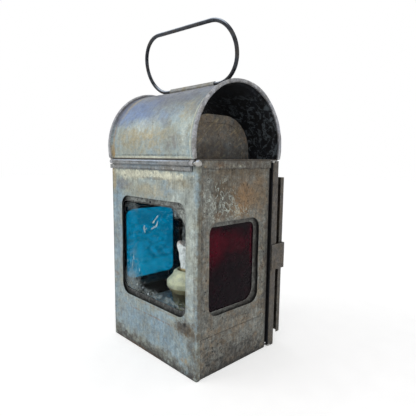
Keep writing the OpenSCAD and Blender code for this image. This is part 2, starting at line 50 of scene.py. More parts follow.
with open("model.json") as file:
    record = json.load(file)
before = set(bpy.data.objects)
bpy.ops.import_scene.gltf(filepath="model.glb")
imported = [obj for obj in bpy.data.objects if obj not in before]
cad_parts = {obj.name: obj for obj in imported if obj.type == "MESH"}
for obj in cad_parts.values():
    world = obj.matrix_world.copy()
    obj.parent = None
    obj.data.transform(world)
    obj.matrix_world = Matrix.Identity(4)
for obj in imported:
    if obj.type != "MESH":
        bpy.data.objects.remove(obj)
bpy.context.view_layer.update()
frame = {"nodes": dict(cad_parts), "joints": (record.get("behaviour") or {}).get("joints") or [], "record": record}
NODES = frame["nodes"]
BODY_OF = {node: body for body, members in frame["record"]["behaviour"]["bodies"].items() for node in members}
JOINTS = {joint["name"]: joint for joint in frame["joints"]}
MM = 0.001
INSIDE = "inside"
SIDES = ((-1, "left"), (1, "right"))
WALL_SLOT = {-1: "tin_front", 1: "tin_side"}
RIGHT, BACK, UP = np.identity(3)
MERGE_MM = 0.0005
NODE_MERGE_MM = 0.001
FOOT_MM = 0.05
FLAT_ANGLE = math.radians(0.3)
EDGE_ANGLE = math.radians(38)


# Places on the lamp, in millimetres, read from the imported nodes

def low(node):
    return np.array(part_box(node)[0]) / MM


def high(node):
    return np.array(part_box(node)[1]) / MM


SHEET = 0.7
BEND_R = 1.0
FRONT_Y = low("front_panel")[1]
REAR_Y = high("right_panel")[1]
CASE_X = high("front_panel")[0]
SIDE_X = high("right_panel")[0]
EAVE_Z = high("front_panel")[2]
LAP_END_Y = high("front_panel")[1]
LEFT_X, RIGHT_X = ((low(node)[0] + high(node)[0]) / 2 for node in ("hood_rim_left", "hood_rim_right"))
RIM_X = {-1: LEFT_X, 1: RIGHT_X}
DECK_Z = high("hood_deck")[2]
HOOD_R = high("hood_sheet")[1]
HOOD_Z = high("hood_sheet")[2] - HOOD_R
HANDLE_Z = JOINTS["handle_swing"]["pos_m"][2] / MM
STRIP_Y = high("hood_hinge_strip")[1] - SHEET
BARREL_Y = low("hood_hinge_strip")[1]
FOUNT_Y = JOINTS["burner_unscrew"]["pos_m"][1] / MM
GALLERY_RIM_Z = low("burner_gallery")[2] + 5.0
PANE_Y = low("front_glass")[1]

FRONT_WINDOW = {"mid": 1.1, "sill": 40.7, "w": 79.6, "h": 80.5, "r": 8.0}
SIDE_WINDOW = {"mid": -3.3, "sill": 42.0, "w": 51.8, "h": 66.0, "r": 8.0}


# Arrays and meshes

def noise_field(points, wave_mm, seed, waves=14):
    """A smooth random value near -1 to 1 at each point: a sum of sine waves in random directions, of lengths
    about wave_mm."""
    draw = np.random.default_rng(seed)
    heads = draw.normal(size=(waves, 3))
    heads /= np.linalg.norm(heads, axis=1, keepdims=True)
    lengths = wave_mm * draw.uniform(0.6, 1.9, waves)
    phases = draw.uniform(0, 2 * math.pi, waves)
    turns = points @ (heads * (2 * math.pi / lengths)[:, None]).T + phases
    return np.sin(turns).sum(-1) / math.sqrt(waves)


def triples(x, y, z):
    """Points from their three coordinates, which may be arrays or single numbers."""
    return np.stack(np.broadcast_arrays(x, y, z), -1).astype(float)


def unit(vectors):
    """Vectors along the last axis, made one long."""
    return vectors / np.linalg.norm(vectors, axis=-1, keepdims=True)


def fade(distance, reach):
    """0 at an edge and 1 from reach inwards, rising smoothly."""
    t = np.clip(distance / reach, 0, 1)
    return t * t * (3 - 2 * t)


def groove(value, middle, width):
    """1 at the middle of a groove, falling to 0 on both sides along a bell curve."""
    return np.exp(-((value - middle) / width) ** 2)


def grid_faces(rows, columns, closed_path, start):
    """Quads over a grid of points whose rows are closed loops, and whose path may be closed too."""
    a, b = np.meshgrid(np.arange(rows if closed_path else rows - 1), np.arange(columns), indexing="ij")
    c, d = (a + 1) % rows, (b + 1) % columns
    quads = np.stack([a * columns + b, c * columns + b, c * columns + d, a * columns + d], -1)
    return quads.reshape(-1, 4) + start


def cap_faces(loop):
    """Quads across a loop of an even number of points, pairing each point with the one over from it."""
    k = np.arange(len(loop) // 2 - 1)
    far = len(loop) - 1 - k
    return loop[np.stack([k, k + 1, far - 1, far], -1)]


class Shape:
    """Surfaces gathered into one mesh. Points are in millimetres."""

    def __init__(self):
        self.points = []
        self.faces = []
        self.count = 0

    def sweep(self, loops, closed_path=False):
        """A skin over loops of points, one loop for each step of a path, with flat ends on an open path."""
        rows, columns = loops.shape[:2]
        self.points.append(loops.reshape(-1, 3))
        self.faces.append(grid_faces(rows, columns, closed_path, self.count))
        if not closed_path:
            for row in (0, rows - 1):
                self.faces.append(cap_faces(self.count + row * columns + np.arange(columns)))
        self.count += rows * columns

    def build(self, name):
        """One object with merged points and faces that look outwards."""
        mesh = bpy.data.meshes.new(name)
        mesh.from_pydata((np.concatenate(self.points) * MM).tolist(), [], np.concatenate(self.faces).tolist())
        form = bmesh.new()
        form.from_mesh(mesh)
        bmesh.ops.remove_doubles(form, verts=form.verts, dist=MERGE_MM * MM)
        bmesh.ops.recalc_face_normals(form, faces=form.faces)
        form.to_mesh(mesh)
        form.free()
        return in_scene(name, mesh)

    def piece(self, name, body, slot, look, *nodes, sharp=40.0):
        """The object with its finish, on its body, which stands for the nodes."""
        dress(self.build(name), body, look, nodes, sharp)


def in_scene(name, data):
    """A new object of that data, in the scene."""
    thing = bpy.data.objects.new(name, data)
    bpy.context.scene.collection.objects.link(thing)
    return thing


def dress(piece, body, look, nodes=(), sharp=40.0):
    """Shades the piece smooth up to an angle, gives it its finish and hangs it on its body."""
    piece.data.shade_smooth()
    piece.data.set_sharp_from_angle(angle=math.radians(sharp))
    piece.data.materials.clear()
    piece.data.materials.append(finish(look))
    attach(piece, body)
    if nodes:
        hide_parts(*nodes)


def softened(node, look, round_mm=0.15, steps=2, drop_mm=0.0):
    """A copy of a node with merged faces and rounded edges, which stands for it. Its foot is let down by
    drop_mm."""
    form = bmesh.new()
    form.from_mesh(NODES[node].data)
    bmesh.ops.remove_doubles(form, verts=form.verts, dist=NODE_MERGE_MM * MM)
    bmesh.ops.dissolve_limit(form, angle_limit=FLAT_ANGLE, verts=form.verts, edges=form.edges)
    foot = (low(node)[2] + FOOT_MM) * MM
    for vertex in form.verts:
        vertex.co.z -= drop_mm * MM * (vertex.co.z < foot)
    mesh = bpy.data.meshes.new(node + "_soft")
    form.to_mesh(mesh)
    form.free()
    piece = in_scene(node + "_soft", mesh)
    dress(piece, BODY_OF[node], look, [node], sharp=180)
    rounding = piece.modifiers.new("rounded edges", "BEVEL")
    rounding.width = round_mm * MM
    rounding.segments = steps
    rounding.limit_method = "ANGLE"
    rounding.angle_limit = EDGE_ANGLE
    rounding.use_clamp_overlap = True
    piece.modifiers.new("flat faces", "WEIGHTED_NORMAL").keep_sharp = True


def rounded_loop(mid, half_w, half_h, radius, straight, corner):
    """Points round a rounded rectangle, anticlockwise from the middle of its right side, with as many points
    on every side and every corner whatever its size, so that two such loops pair up."""
    parts = []
    along = np.linspace(-1, 1, straight, endpoint=False)
    angle = np.linspace(0, math.pi / 2, corner, endpoint=False)
    for turn in range(4):
        c, s = (1, 0, -1, 0)[turn], (0, 1, 0, -1)[turn]
        reach, run = (half_w, half_h - radius) if turn % 2 == 0 else (half_h, half_w - radius)
        side = np.stack([np.full(straight, reach), along * run], 1)
        bend = np.stack([reach - radius + radius * np.cos(angle), run + radius * np.sin(angle)], 1)
        parts.append(np.concatenate([side, bend]) @ np.array([[c, s], [-s, c]]))
    return np.concatenate(parts) + np.array(mid)


def windowed_plate(window, low_corner, high_corner, place, dent):
    """A plate with a rounded window: rings that run from the window's edge to the plate's edge. Each ring is
    a mix of the two loops, the sheet bulges by dent, and the window's edge is rounded in a half circle."""
    straight, corner, rings, nose_steps = 44, 14, 26, 7
    first, last = np.array(low_corner), np.array(high_corner)
    centre = (window["mid"], window["sill"] + window["h"] / 2)
    round_r = SHEET / 2
    hole = rounded_loop(centre, window["w"] / 2 + round_r, window["h"] / 2 + round_r, window["r"] + round_r,
                        straight, corner)
    edge = rounded_loop((first + last) / 2, *(last - first) / 2, 0.05, straight, corner)
    share = np.linspace(0, 1, rings)[None, :, None]
    face = hole[:, None] * (1 - share) + edge[:, None] * share
    lip = math.pi * np.linspace(0, 1, nose_steps)[1:-1]
    front = place(face, dent(face))
    back = place(face, dent(face) - SHEET)
    nose_flat = hole[:, None] - unit(edge - hole)[:, None] * (round_r * np.sin(lip))[None, :, None]
    nose = place(nose_flat, dent(nose_flat) - round_r + round_r * np.cos(lip)[None, :])
    return np.concatenate([front[:, ::-1], nose, back], axis=1)


def corner_strip(start, corner, end, heights, wobble):
    """A sheet that turns one corner, drawn up through heights: its outer line runs from start round corner to
    end, all in plan, and the inner line lies one sheet's thickness inside."""
    start, corner, end = (np.array(p, float) for p in (start, corner, end))
    first, second = unit(corner - start), unit(end - corner)
    turn = np.linspace(0, math.pi / 2, 7)
    hub = corner - first * BEND_R + second * BEND_R
    arc = np.outer(np.sin(turn), first) - np.outer(np.cos(turn), second)
    outer = np.concatenate([start[None], hub + BEND_R * arc, end[None]])
    inner = np.concatenate([(start + second * SHEET)[None], hub + (BEND_R - SHEET) * arc,
                            (end - first * SHEET)[None]])
    plan = np.concatenate([outer, inner[::-1]])[None] + wobble[:, None, :]
    return triples(plan[..., 0], plan[..., 1], heights[:, None])


def tube(path, side, up, radius, count=18):
    """Loops round a path: at each point a circle of that radius, in the plane of the side and up ways."""
    angle = np.linspace(0, 2 * math.pi, count, endpoint=False)[None, :, None]
    radius = np.broadcast_to(radius, path.shape[:1])[:, None, None]
    side, up = (np.broadcast_to(way, path.shape)[:, None] for way in (side, up))
    return path[:, None] + radius * (side * np.cos(angle) + up * np.sin(angle))


# Node trees

class Field:
    """A node's output, which adds, subtracts and multiplies as a number does."""

    def __init__(self, socket):
        self.socket = socket
        self.tree = socket.id_data

    def __add__(self, other):
        return calc("ADD", self, other)

    def __sub__(self, other):
        return calc("SUBTRACT", self, other)

    def __rsub__(self, other):
        return calc("SUBTRACT", other, self)

    def __mul__(self, other):
        return calc("MULTIPLY", self, other)

    def __abs__(self):
        return calc("ABSOLUTE", self)


def hue(colour):
    """A colour with full alpha, from its numbers or its name in the lamp's finish."""
    if isinstance(colour, str):
        colour = getattr(bpy.context.scene.lamp_finish, colour)
    return (*colour[:3], 1.0)


def feed(socket, value):
    """Links a field into a socket, or sets the socket's value. A string is a colour's name."""
    if isinstance(value, Field):
        socket.id_data.links.new(value.socket, socket)
    else:
        socket.default_value = hue(value) if isinstance(value, str) else value


def add_node(tree, kind, settings=None, **inputs):
    """The outputs of a new node, by name. It has its settings, and its inputs given by name with _ for a
    space."""
    made = tree.nodes.new(kind)
    for key, value in (settings or {}).items():
        setattr(made, key, value)
    for key, value in inputs.items():
        feed(made.inputs[key.replace("_", " ")], value)
    return {socket.name: Field(socket) for socket in made.outputs}


MIX_PLACES, MIX_RESULT = (0, 6, 7), 2


def joined(kind, settings, places, values):
    """A new node with values in the inputs at those places, in the tree of the first field among them."""
    made = next(value.tree for value in values if isinstance(value, Field)).nodes.new(kind)
    for key, value in settings.items():
        setattr(made, key, value)
    for place, value in zip(places, values):
        feed(made.inputs[place], value)
    return made.outputs


def calc(how, a, b=0.0, clamp=False):
    return Field(joined("ShaderNodeMath", {"operation": how, "use_clamp": clamp}, (0, 1), (a, b))[0])


def vector_calc(how, a, b=(0, 0, 0)):
    made = joined("ShaderNodeVectorMath", {"operation": how}, (0, 1), (a, b))
    return Field(made["Value" if how in ("LENGTH", "DOT_PRODUCT") else "Vector"])


def blend(amount, a, b, how="MIX"):
    """Two colours, mixed by the amount or in another way."""
    settings = {"data_type": "RGBA", "blend_type": how}
    return Field(joined("ShaderNodeMix", settings, MIX_PLACES, (amount, a, b))[MIX_RESULT])


def span(value, from_low, from_high, to_low=0.0, to_high=1.0):
    """The value moved smoothly from one span to another, and held at the ends."""
    return add_node(value.tree, "ShaderNodeMapRange", {"interpolation_type": "SMOOTHSTEP"}, Value=value,
                    From_Min=from_low, From_Max=from_high, To_Min=to_low, To_Max=to_high)["Result"]


def vary(value, less, more):
    """A factor that runs from 1 - less to 1 + more as the value runs from 0 to 1."""
    return span(value, 0.0, 1.0, 1 - less, 1 + more)


def clouds(vector, scale, detail=3.0, rough=0.55, twist=0.0):
    return add_node(vector.tree, "ShaderNodeTexNoise", Vector=vector, Scale=scale, Detail=detail,
                    Roughness=rough, Distortion=twist)["Fac"]


def grey(value):
    return add_node(value.tree, "ShaderNodeCombineColor", Red=value, Green=value, Blue=value)["Color"]


def here_in(tree):
    """The place on the object, in metres."""
    return add_node(tree, "ShaderNodeTexCoord")["Object"]


def axis_of(vector, axis):
    return add_node(vector.tree, "ShaderNodeSeparateXYZ", Vector=vector)[axis]


def new_group(name, inputs, outputs):
    """An empty node group: its tree, the fields that come in by name, and the sockets that they leave by."""
    tree = bpy.data.node_groups.new(name, "ShaderNodeTree")
    for label, value in inputs.items():
        kind = "NodeSocketVector" if isinstance(value, tuple) else "NodeSocketFloat"
        tree.interface.new_socket(name=label, in_out="INPUT", socket_type=kind).default_value = value
    for label in outputs:
        tree.interface.new_socket(name=label, in_out="OUTPUT", socket_type="NodeSocketFloat")
    return tree, add_node(tree, "NodeGroupInput"), tree.nodes.new("NodeGroupOutput").inputs


# A mask's name, how and by what its place is moved or stretched, its noise, and the noise that it spans
WEATHER = (
    ("Clouds", None, None, (34, 4, 0.62, 0.5), 0.34, 0.66),
    ("Patches", "ADD", (0.31, 0.17, 0.05), (88, 6, 0.68, 0.8), 0.45, 0.63),
    ("Warm Dapple", "ADD", (0.07, 0.43, 0.21), (190, 6, 0.72, 0.9), 0.48, 0.6),
    ("Cool Dapple", "ADD", (0.57, 0.03, 0.41), (230, 6, 0.72, 0.7), 0.48, 0.6),
    ("Blots", "ADD", (0.27, 0.63, 0.11), (105, 8, 0.8, 0.6), 0.56, 0.66),
    ("Mottle", None, None, (300, 5, 0.7, 0.3), 0.34, 0.66),
    ("Grain", None, None, (820, 4, 0.75), 0.36, 0.64),
    ("Brush", "MULTIPLY", (1, 1, 0.05), (900, 3, 0.6), 0.36, 0.64),
    ("Runs", "MULTIPLY", (1, 1, 0.12), (520, 4, 0.6), 0.46, 0.7),
)


def weather_group():
    """Masks that the finishes share. Each row of WEATHER is one. Specks are small cells in sparse areas,
    scratches and curls are thin lines where noise crosses its middle, and sweeps are noise drawn out on a
    slant."""
    names = [row[0] for row in WEATHER] + ["Specks", "Scratches", "Sweeps", "Curls"]
    tree, start, end = new_group("weather", {"Shift": (0, 0, 0)}, names)
    here = vector_calc("ADD", here_in(tree), start["Shift"])
    for name, how, by, noise, bottom, top in WEATHER:
        place = vector_calc(how, here, by) if how else here
        feed(end[name], span(clouds(place, *noise), bottom, top))
    crumbs = add_node(tree, "ShaderNodeTexVoronoi", Vector=here, Scale=520.0, Randomness=1.0)["Distance"]
    feed(end["Specks"], span(crumbs, 0.42, 0.16) * span(clouds(here, 170, 4, 0.7), 0.5, 0.66))
    lines = clouds(vector_calc("MULTIPLY", here, (1.0, 1.0, 0.45)), 95, 2, 0.5, 1.6)
    feed(end["Scratches"], span(abs(lines - 0.5), 0.009, 0.002) * span(clouds(here, 70, 2), 0.52, 0.62))
    turned = add_node(tree, "ShaderNodeVectorRotate", {"rotation_type": "X_AXIS"}, Vector=here, Angle=0.95)
    drawn = clouds(vector_calc("MULTIPLY", turned["Vector"], (1, 1, 0.16)), 420, 3, 0.5, 0.5)
    feed(end["Sweeps"], span(drawn, 0.56, 0.68))
    worms = clouds(vector_calc("ADD", here, (0.13, 0.29, 0.37)), 88, 3, 0.6, 2.6)
    feed(end["Curls"], span(abs(worms - 0.5), 0.03, 0.012))
    return tree


def stain_group():
    """A stain at one place: the distance from its centre, in units of its reach, ragged by noise, and broken
    up inside by finer noise."""
    tree, start, end = new_group("stain", {"Centre": (0, 0, 0), "Reach": (0.01, 0.01, 0.01), "Ragged": 0.6,
                                           "Grain Size": 190.0, "Broken": 0.7}, ["Mask"])
    here = here_in(tree)
    away = vector_calc("DIVIDE", vector_calc("SUBTRACT", here, start["Centre"]), start["Reach"])
    rag = (clouds(here, start["Grain Size"], 6.0, 0.72) - 0.5) * (start["Ragged"] * 3.6)
    form = span(vector_calc("LENGTH", away) + rag, 1.3, 0.42)
    gaps = span(clouds(here, start["Grain Size"] * 0.5 + 240.0, 4.0, 0.7), 0.6, 0.42)
    feed(end["Mask"], form * (1.0 - gaps * start["Broken"]))
    return tree


def inner_group():
    """The inner faces of a box of sheets: 1 where a point is within a half width, and between two depths."""
    tree, start, end = new_group("inner faces", {"Half Width": 0.05, "Front": -0.04, "Back": 0.2}, ["Mask"])
    place = add_node(tree, "ShaderNodeSeparateXYZ", Vector=here_in(tree))
    side = start["Half Width"] - abs(place["X"])
    depth = calc("MINIMUM", place["Y"] - start["Front"], start["Back"] - place["Y"])
    feed(end["Mask"], span(calc("MINIMUM", side, depth), -0.00012, 0.00012))
    return tree


def edge_group():
    """Worn edges: where the normal, smoothed over a small radius, leaves the true normal."""
    tree, start, end = new_group("worn edge", {"Radius": 0.0006}, ["Mask"])
    soft = add_node(tree, "ShaderNodeBevel", {"samples": 6}, Radius=start["Radius"])["Normal"]
    match = vector_calc("DOT_PRODUCT", soft, add_node(tree, "ShaderNodeNewGeometry")["Normal"])
    rub = span(clouds(here_in(tree), 240, 3), 0.35, 0.6)
    feed(end["Mask"], span(match, 0.985, 0.86) * rub)
    return tree


def crevice_dirt_and_shade_group():
    """Dirt and painted shade in corners: how much of the sky over a point is closed off nearby, broken up by
    noise.
    """
    tree, start, end = new_group("crevice dirt", {"Reach": 0.004}, ["Mask"])
    sky = add_node(tree, "ShaderNodeAmbientOcclusion", {"samples": 6}, Distance=start["Reach"])["AO"]
    rag = (clouds(here_in(tree), 300, 4) - 0.5) * 0.5
    feed(end["Mask"], span(sky + rag, 0.85, 0.35))
    return tree


GROUPS = {"weather": weather_group, "stain": stain_group, "inner faces": inner_group, "worn edge": edge_group,
          "crevice dirt": crevice_dirt_and_shade_group}


def group(tree, name, **inputs):
    """The outputs of the named group with its own values. It is built the first time it is asked for."""
    shared = bpy.data.node_groups.get(name) or GROUPS[name]()
    return add_node(tree, "ShaderNodeGroup", {"node_tree": shared}, **inputs)


def new_material(name):
    """A material with one Principled shader: the material, its tree and the shader's inputs."""
    material = bpy.data.materials.new(name)
    material.use_nodes = True
    return material, material.node_tree, material.node_tree.nodes["Principled BSDF"].inputs


def bump(shader, strength, distance, height):
    made = add_node(height.tree, "ShaderNodeBump", Strength=strength, Distance=distance, Height=height)
    feed(shader["Normal"], made["Normal"])


def surface(tree, kind, places, *shaders):
    """Puts a node that joins shaders before the material's output."""
    feed(tree.nodes["Material Output"].inputs["Surface"], Field(joined(kind, {}, places, shaders)[0]))


# Stains: a mark's colour, its centre and reach in millimetres, and how it looks

class Stain(NamedTuple):
    """A mark at a place on the lamp."""

    colour: str
    centre: tuple
    reach: tuple
    strength: float = 0.8
    ragged: float = 0.6
    grain: float = 190.0
    dull: float = 0.7
    broken: float = 0.7
    curls: bool = False

    def mask(self, tree):
        """The stain's mask in a tree, times its strength."""
        centre, reach = (tuple(v * MM for v in values) for values in (self.centre, self.reach))
        return group(tree, "stain", Centre=centre, Reach=reach, Ragged=self.ragged, Grain_Size=self.grain,
                     Broken=self.broken)["Mask"] * self.strength


def on_wall(axis, face, depth, rows):
    """Stains on one wall, which faces along y or x. Each row gives a colour, the centre's and the reach's two
    lengths along the wall and up it, and the rest of a Stain's values."""
    stains = []
    for colour, along, up, wide, tall, *rest in rows:
        if axis == "y":
            stains.append(Stain(colour, (along, face, up), (wide, depth, tall), *rest))
        else:
            stains.append(Stain(colour, (face, along, up), (depth, wide, tall), *rest))
    return stains


# The front wall and its laps, as the photograph shows them
LAP_Y = LAP_END_Y - 1.0
FRONT_STAINS = on_wall("y", FRONT_Y, 2.0, (
    ("blue_tin", -8, 22, 48, 15, 0.6, 0.6, 70, 0.1, 0.5),
    ("blue_tin", -46, 84, 8, 42, 0.55, 0.6, 70, 0.1, 0.5),
    ("blue_tin", 20, 130, 14, 5, 0.55, 0.8, 120, 0.2, 0.6),
    ("blue_tin", -44, 122, 9, 9, 0.5, 0.8, 120, 0.2, 0.6),
    ("blue_tin", 51, 128, 3, 15, 0.5, 0.7, 120, 0.2, 0.5),
    ("pale", 47, 92, 5.5, 52, 0.8, 0.6, 110, 0.3, 0.4),
    ("pale", 38, 124, 14, 11, 0.85, 0.7, 110, 0.3, 0.4),
    ("pale", -2, 131, 30, 6, 0.6, 0.8, 110, 0.3, 0.4),
    ("violet_tin", -38, 131, 14, 5, 0.6, 0.7, 100, 0.3, 0.4),
    ("tan", -6, 127, 26, 6, 0.6, 0.8, 110, 0.5, 0.4),
    ("tan", 33, 134, 13, 5, 0.55, 0.8, 130, 0.5, 0.4),
    ("tan", -50, 134, 4, 11, 0.85, 0.7, 130, 0.5, 0.3),
    ("brown", 44, 134, 8, 7, 0.3, 1.0, 260, 0.7),
    ("cream", -6, 139.6, 46, 3.2, 1.0, 0.8, 170, 0.9, 0.3),
    ("cream", -24, 138.2, 17, 3.6, 0.95, 0.9, 200, 0.9, 0.3),
    ("cream", 22, 138.4, 15, 2.8, 0.85, 0.9, 200, 0.9, 0.3),
    ("brown", 8, 136.6, 30, 1.0, 0.5, 1.1, 260, 0.9, 0.6),
    ("soot", -33, 137.6, 1.2, 0.9, 0.8, 0.8, 420, 0.9, 0.2),
    ("rust", -48, 54, 3.4, 2.0, 0.55, 0.9, 300, 0.9),
    ("rust", 4, 31.4, 46, 0.7, 0.5, 0.8, 240, 0.7),
    ("rust", 2, 39.2, 40, 0.9, 0.35, 1.0, 300, 0.7),
    ("tan", 10, 19, 2.0, 5, 0.45, 1.0, 260, 0.6),
    ("brown", 40.5, 34.0, 11, 7, 1.0, 0.9, 170, 1.0, 0.3),
    ("grime", 39.4, 34.2, 8, 5, 0.95, 1.1, 260, 1.0, 0.5),
    ("soot", 39.9, 36.8, 1.9, 1.4, 1.0, 0.6, 500, 1.0, 0.1),
    ("brown", 47, 24, 5, 9, 0.6, 1.1, 200, 1.0, 0.4),
    ("ochre", 40, 10.5, 4, 2, 0.6, 1.1, 300, 0.9),
    ("brown", 10, 5, 50, 6, 0.45, 1.0, 150, 0.8, 0.5),
    ("grime", 0, 1.0, 64, 6.4, 0.95, 0.9, 150, 0.8, 0.25),
    ("soot", 0, 0.2, 64, 2.6, 0.7, 1.0, 260, 0.9, 0.5),
    ("grime", -44, 6, 11, 7, 0.75, 0.9, 150, 0.8, 0.4),
    ("grime", 51, 12, 6, 14, 0.6, 1.0, 240, 0.8),
    ("rust", -18, 0.6, 30, 1.4, 0.5, 0.9, 300, 0.8),
)) + [
    Stain("brown", (CASE_X, LAP_Y, 75), (1.6, 2.2, 92), 0.85, 0.7, 330, 0.9, 0.3),
    Stain("brown", (-CASE_X, LAP_Y, 75), (1.6, 2.2, 92), 0.95, 0.6, 330, 0.9, 0.15),
    Stain("grime", (-CASE_X, FRONT_Y, 75), (1.7, 1.7, 92), 0.8, 0.7, 300, 0.8, 0.3),
] + on_wall("y", FRONT_Y, 2.0, (
    ("brown", 50.4, 60, 1.3, 66, 0.5, 1.0, 260, 0.8),
    # Painted highlights: small pale spots at the foot of each corner
    ("pale", -52, 1.6, 2.2, 1.8, 1.0, 0.8, 420, 0.3, 0.3),
    ("pale", 51.5, 1.2, 2.0, 1.4, 1.0, 0.8, 420, 0.3, 0.3),
    ("ochre", -52, 140, 1.6, 3.0, 0.8, 0.8, 300, 0.6, 0.3),
))

# The right wall: brown and tan over the window, flaked pale curls beside it, and dark at the foot
RIGHT_STAINS = on_wall("x", SIDE_X, 2.0, (
    ("brown", -16, 124, 17, 14, 0.7, 1.0, 160, 0.8, 0.4),
    ("soot", -18, 126, 14, 12, 0.5, 1.5, 300, 0.9, 0.8),
    ("brown", -15, 133, 16, 6, 0.7, 1.0, 200, 0.8),
    ("warm_side", 8, 124, 18, 15, 0.95, 0.8, 90, 0.7, 0.3),
    ("warm_side", 21, 126, 9, 17, 0.6, 0.8, 120, 0.7, 0.5),
    ("brown", 27, 124, 7, 16, 0.65, 0.9, 160, 0.8),
    ("rust", 5, 123, 8, 10, 0.5, 1.0, 140, 0.8, 0.5),
    ("side_pale", -31, 120, 6, 18, 0.7, 0.9, 130, 0.4, 0.4),
    ("pale", -22, 121, 22, 20, 1.0, 0.6, 110, 0.4, 0.1, True),
    ("pale", -6, 114, 20, 7, 0.9, 0.7, 110, 0.4, 0.2, True),
    ("rust", -20, 112, 6, 3, 0.4, 1.2, 300, 0.9),
    ("ochre", -2, 113, 3, 4, 0.35, 1.3, 330, 0.9),
    ("cream", 29.5, 89, 1.8, 9, 0.5, 1.4, 330, 0.9, 0.9),
    ("cream", 31.0, 62, 1.4, 7, 0.45, 1.4, 330, 0.9, 0.9),
    ("cream", 25.2, 48, 3.6, 2.2, 0.55, 1.3, 330, 0.9, 0.9),
    ("ochre", 25.2, 47, 3.6, 2.2, 0.4, 1.3, 330, 0.9, 0.9),
    ("grime", 32.6, 78, 3.4, 66, 0.9, 0.8, 160, 0.9, 0.4),
    ("soot", 28, 70, 4.5, 50, 0.5, 1.4, 330, 0.9, 1.0),
    ("grime", -2, 3, 48, 12, 0.8, 1.0, 140, 0.9, 0.5),
    ("soot", 0, 0.5, 46, 4, 0.8, 1.0, 260, 0.9, 0.4),
    ("soot", -28, 14, 10, 12, 0.6, 1.4, 330, 0.9, 1.0),
    ("soot", -6, 13, 16, 9, 0.5, 1.4, 330, 0.9, 1.0),
    ("soot", 16, 10, 14, 8, 0.5, 1.4, 330, 0.9, 1.0),
    ("soot", -32, 45, 4, 22, 0.4, 1.4, 330, 0.9, 1.0),
    ("soot", -5, 28.4, 40, 0.5, 0.7, 0.7, 300, 0.9, 0.5),
    ("soot", -4, 36.6, 26, 2.4, 0.45, 1.4, 330, 0.9, 1.0),
    ("brown", 0, 142, 40, 4.0, 0.75, 0.8, 200, 0.9, 0.4),
    ("grime", -36.4, 75, 1.4, 90, 0.6, 1.0, 260, 0.9),
))

# A violet tint over the hood's upper half, a painted reflection of blue sky on its upper left, tan low down, a
# gold line beside the left rim, a painted highlight as a gold line beside the right rim, and rust at the lower
# left corner
HOOD_STAINS = [Stain(*row) for row in (
    ("violet_tin", (6, -14, 205), (80, 48, 28), 0.95, 0.4, 60, 0.0, 0.25),
    # Painted reflection of blue sky on the hood's upper left
    ("hood_blue", (-26, -33, 186), (25, 14, 13), 0.95, 0.45, 60, 0.0, 0.25),
    ("hood_blue", (4, -37, 180), (26, 10, 9), 0.45, 0.6, 80, 0.0, 0.4),
    ("pale", (-4, -40, 172), (20, 8, 8), 0.5, 0.7, 90, 0.0, 0.4),
    ("tan", (-22, -42, 165), (26, 10, 10), 0.65, 0.8, 110, 0.4),
    ("tan", (12, -42, 164), (28, 10, 9), 0.6, 0.8, 110, 0.4),
    ("violet_tin", (28, -43, 161), (9, 6, 7), 0.45, 0.8, 110, 0.2),
    ("pale", (41, -42, 166), (5, 10, 17), 0.75, 0.7, 130, 0.2),
    ("tan", (38, -36, 182), (7, 9, 8), 0.55, 1.0, 200, 0.4),
    ("cream", (0, -43, 151.4), (56, 4, 1.3), 0.9, 0.5, 260, 0.8, 0.3),
    ("grime", (0, -43, 153.2), (54, 4, 0.6), 0.6, 0.8, 300, 0.8),
    ("ochre", (LEFT_X + 3.4, -43, 155), (2.6, 6, 6), 0.9, 0.5, 240, 0.9, 0.3),
    ("ochre", (LEFT_X + 4.4, -42, 168), (1.3, 9, 14), 0.75, 0.8, 260, 0.8, 0.4),
    ("tan", (LEFT_X + 9.5, -26, 192), (3.4, 26, 14), 0.7, 0.8, 130, 0.4, 0.4),
    ("violet_tin", (LEFT_X + 4.0, -24, 190), (4.6, 40, 26), 0.9, 0.4, 120, 0.3, 0.2),
    ("grime", (LEFT_X + 0.8, -20, 192), (3.0, 48, 60), 0.75, 0.5, 120, 0.6, 0.3),
    # Painted highlight: a cream line along the step where the right flare rises
    ("cream", (RIGHT_X - 5.2, -36, 172), (0.7, 16, 26), 0.85, 0.5, 260, 0.5, 0.3),
    ("tan", (RIGHT_X - 3.6, -26, 180), (1.0, 40, 50), 0.5, 0.6, 150, 0.3, 0.4),
    ("grime", (10, -14, 202.6), (60, 13, 4.0), 0.5, 0.8, 110, 0.1, 0.5),
    ("tan", (26, -4, 203), (28, 3.6, 2.4), 0.85, 0.6, 160, 0.6),
    ("grime", (0, 30, 165), (60, 14, 16), 0.5, 0.9, 70, 0.8),
)]

# The hinge strip's barrel carries a painted highlight along its top with a dark line under it, and a painted
# shadow runs along its leaf's lower edge
STRIP_STAINS = [Stain(*row) for row in (
    # Painted highlight along the barrel's top, in the sheen colour
    ("sheen", (0, BARREL_Y + 1.4, 149.9), (70, 2.2, 1.0), 1.0, 0.1, 200, 0.0, 0.0),
    ("soot", (-6, BARREL_Y, 148.3), (44, 2, 0.3), 0.8, 1.0, 240, 0.9, 0.5),
    ("blue_tin", (-14, STRIP_Y, 145), (20, 2, 3), 0.5, 0.6, 110, 0.1, 0.4),
    ("tan", (8, STRIP_Y, 144), (40, 2, 1.6), 0.3, 1.1, 300, 0.5),
    # Painted shadow along the leaf's lower edge, in the grime colour
    ("grime", (0, STRIP_Y, 142.9), (60, 2, 0.9), 0.7, 0.8, 260, 0.9, 0.4),
    ("soot", (-32, STRIP_Y, 147.0), (6, 2, 0.5), 0.6, 1.0, 330, 0.9),
)]

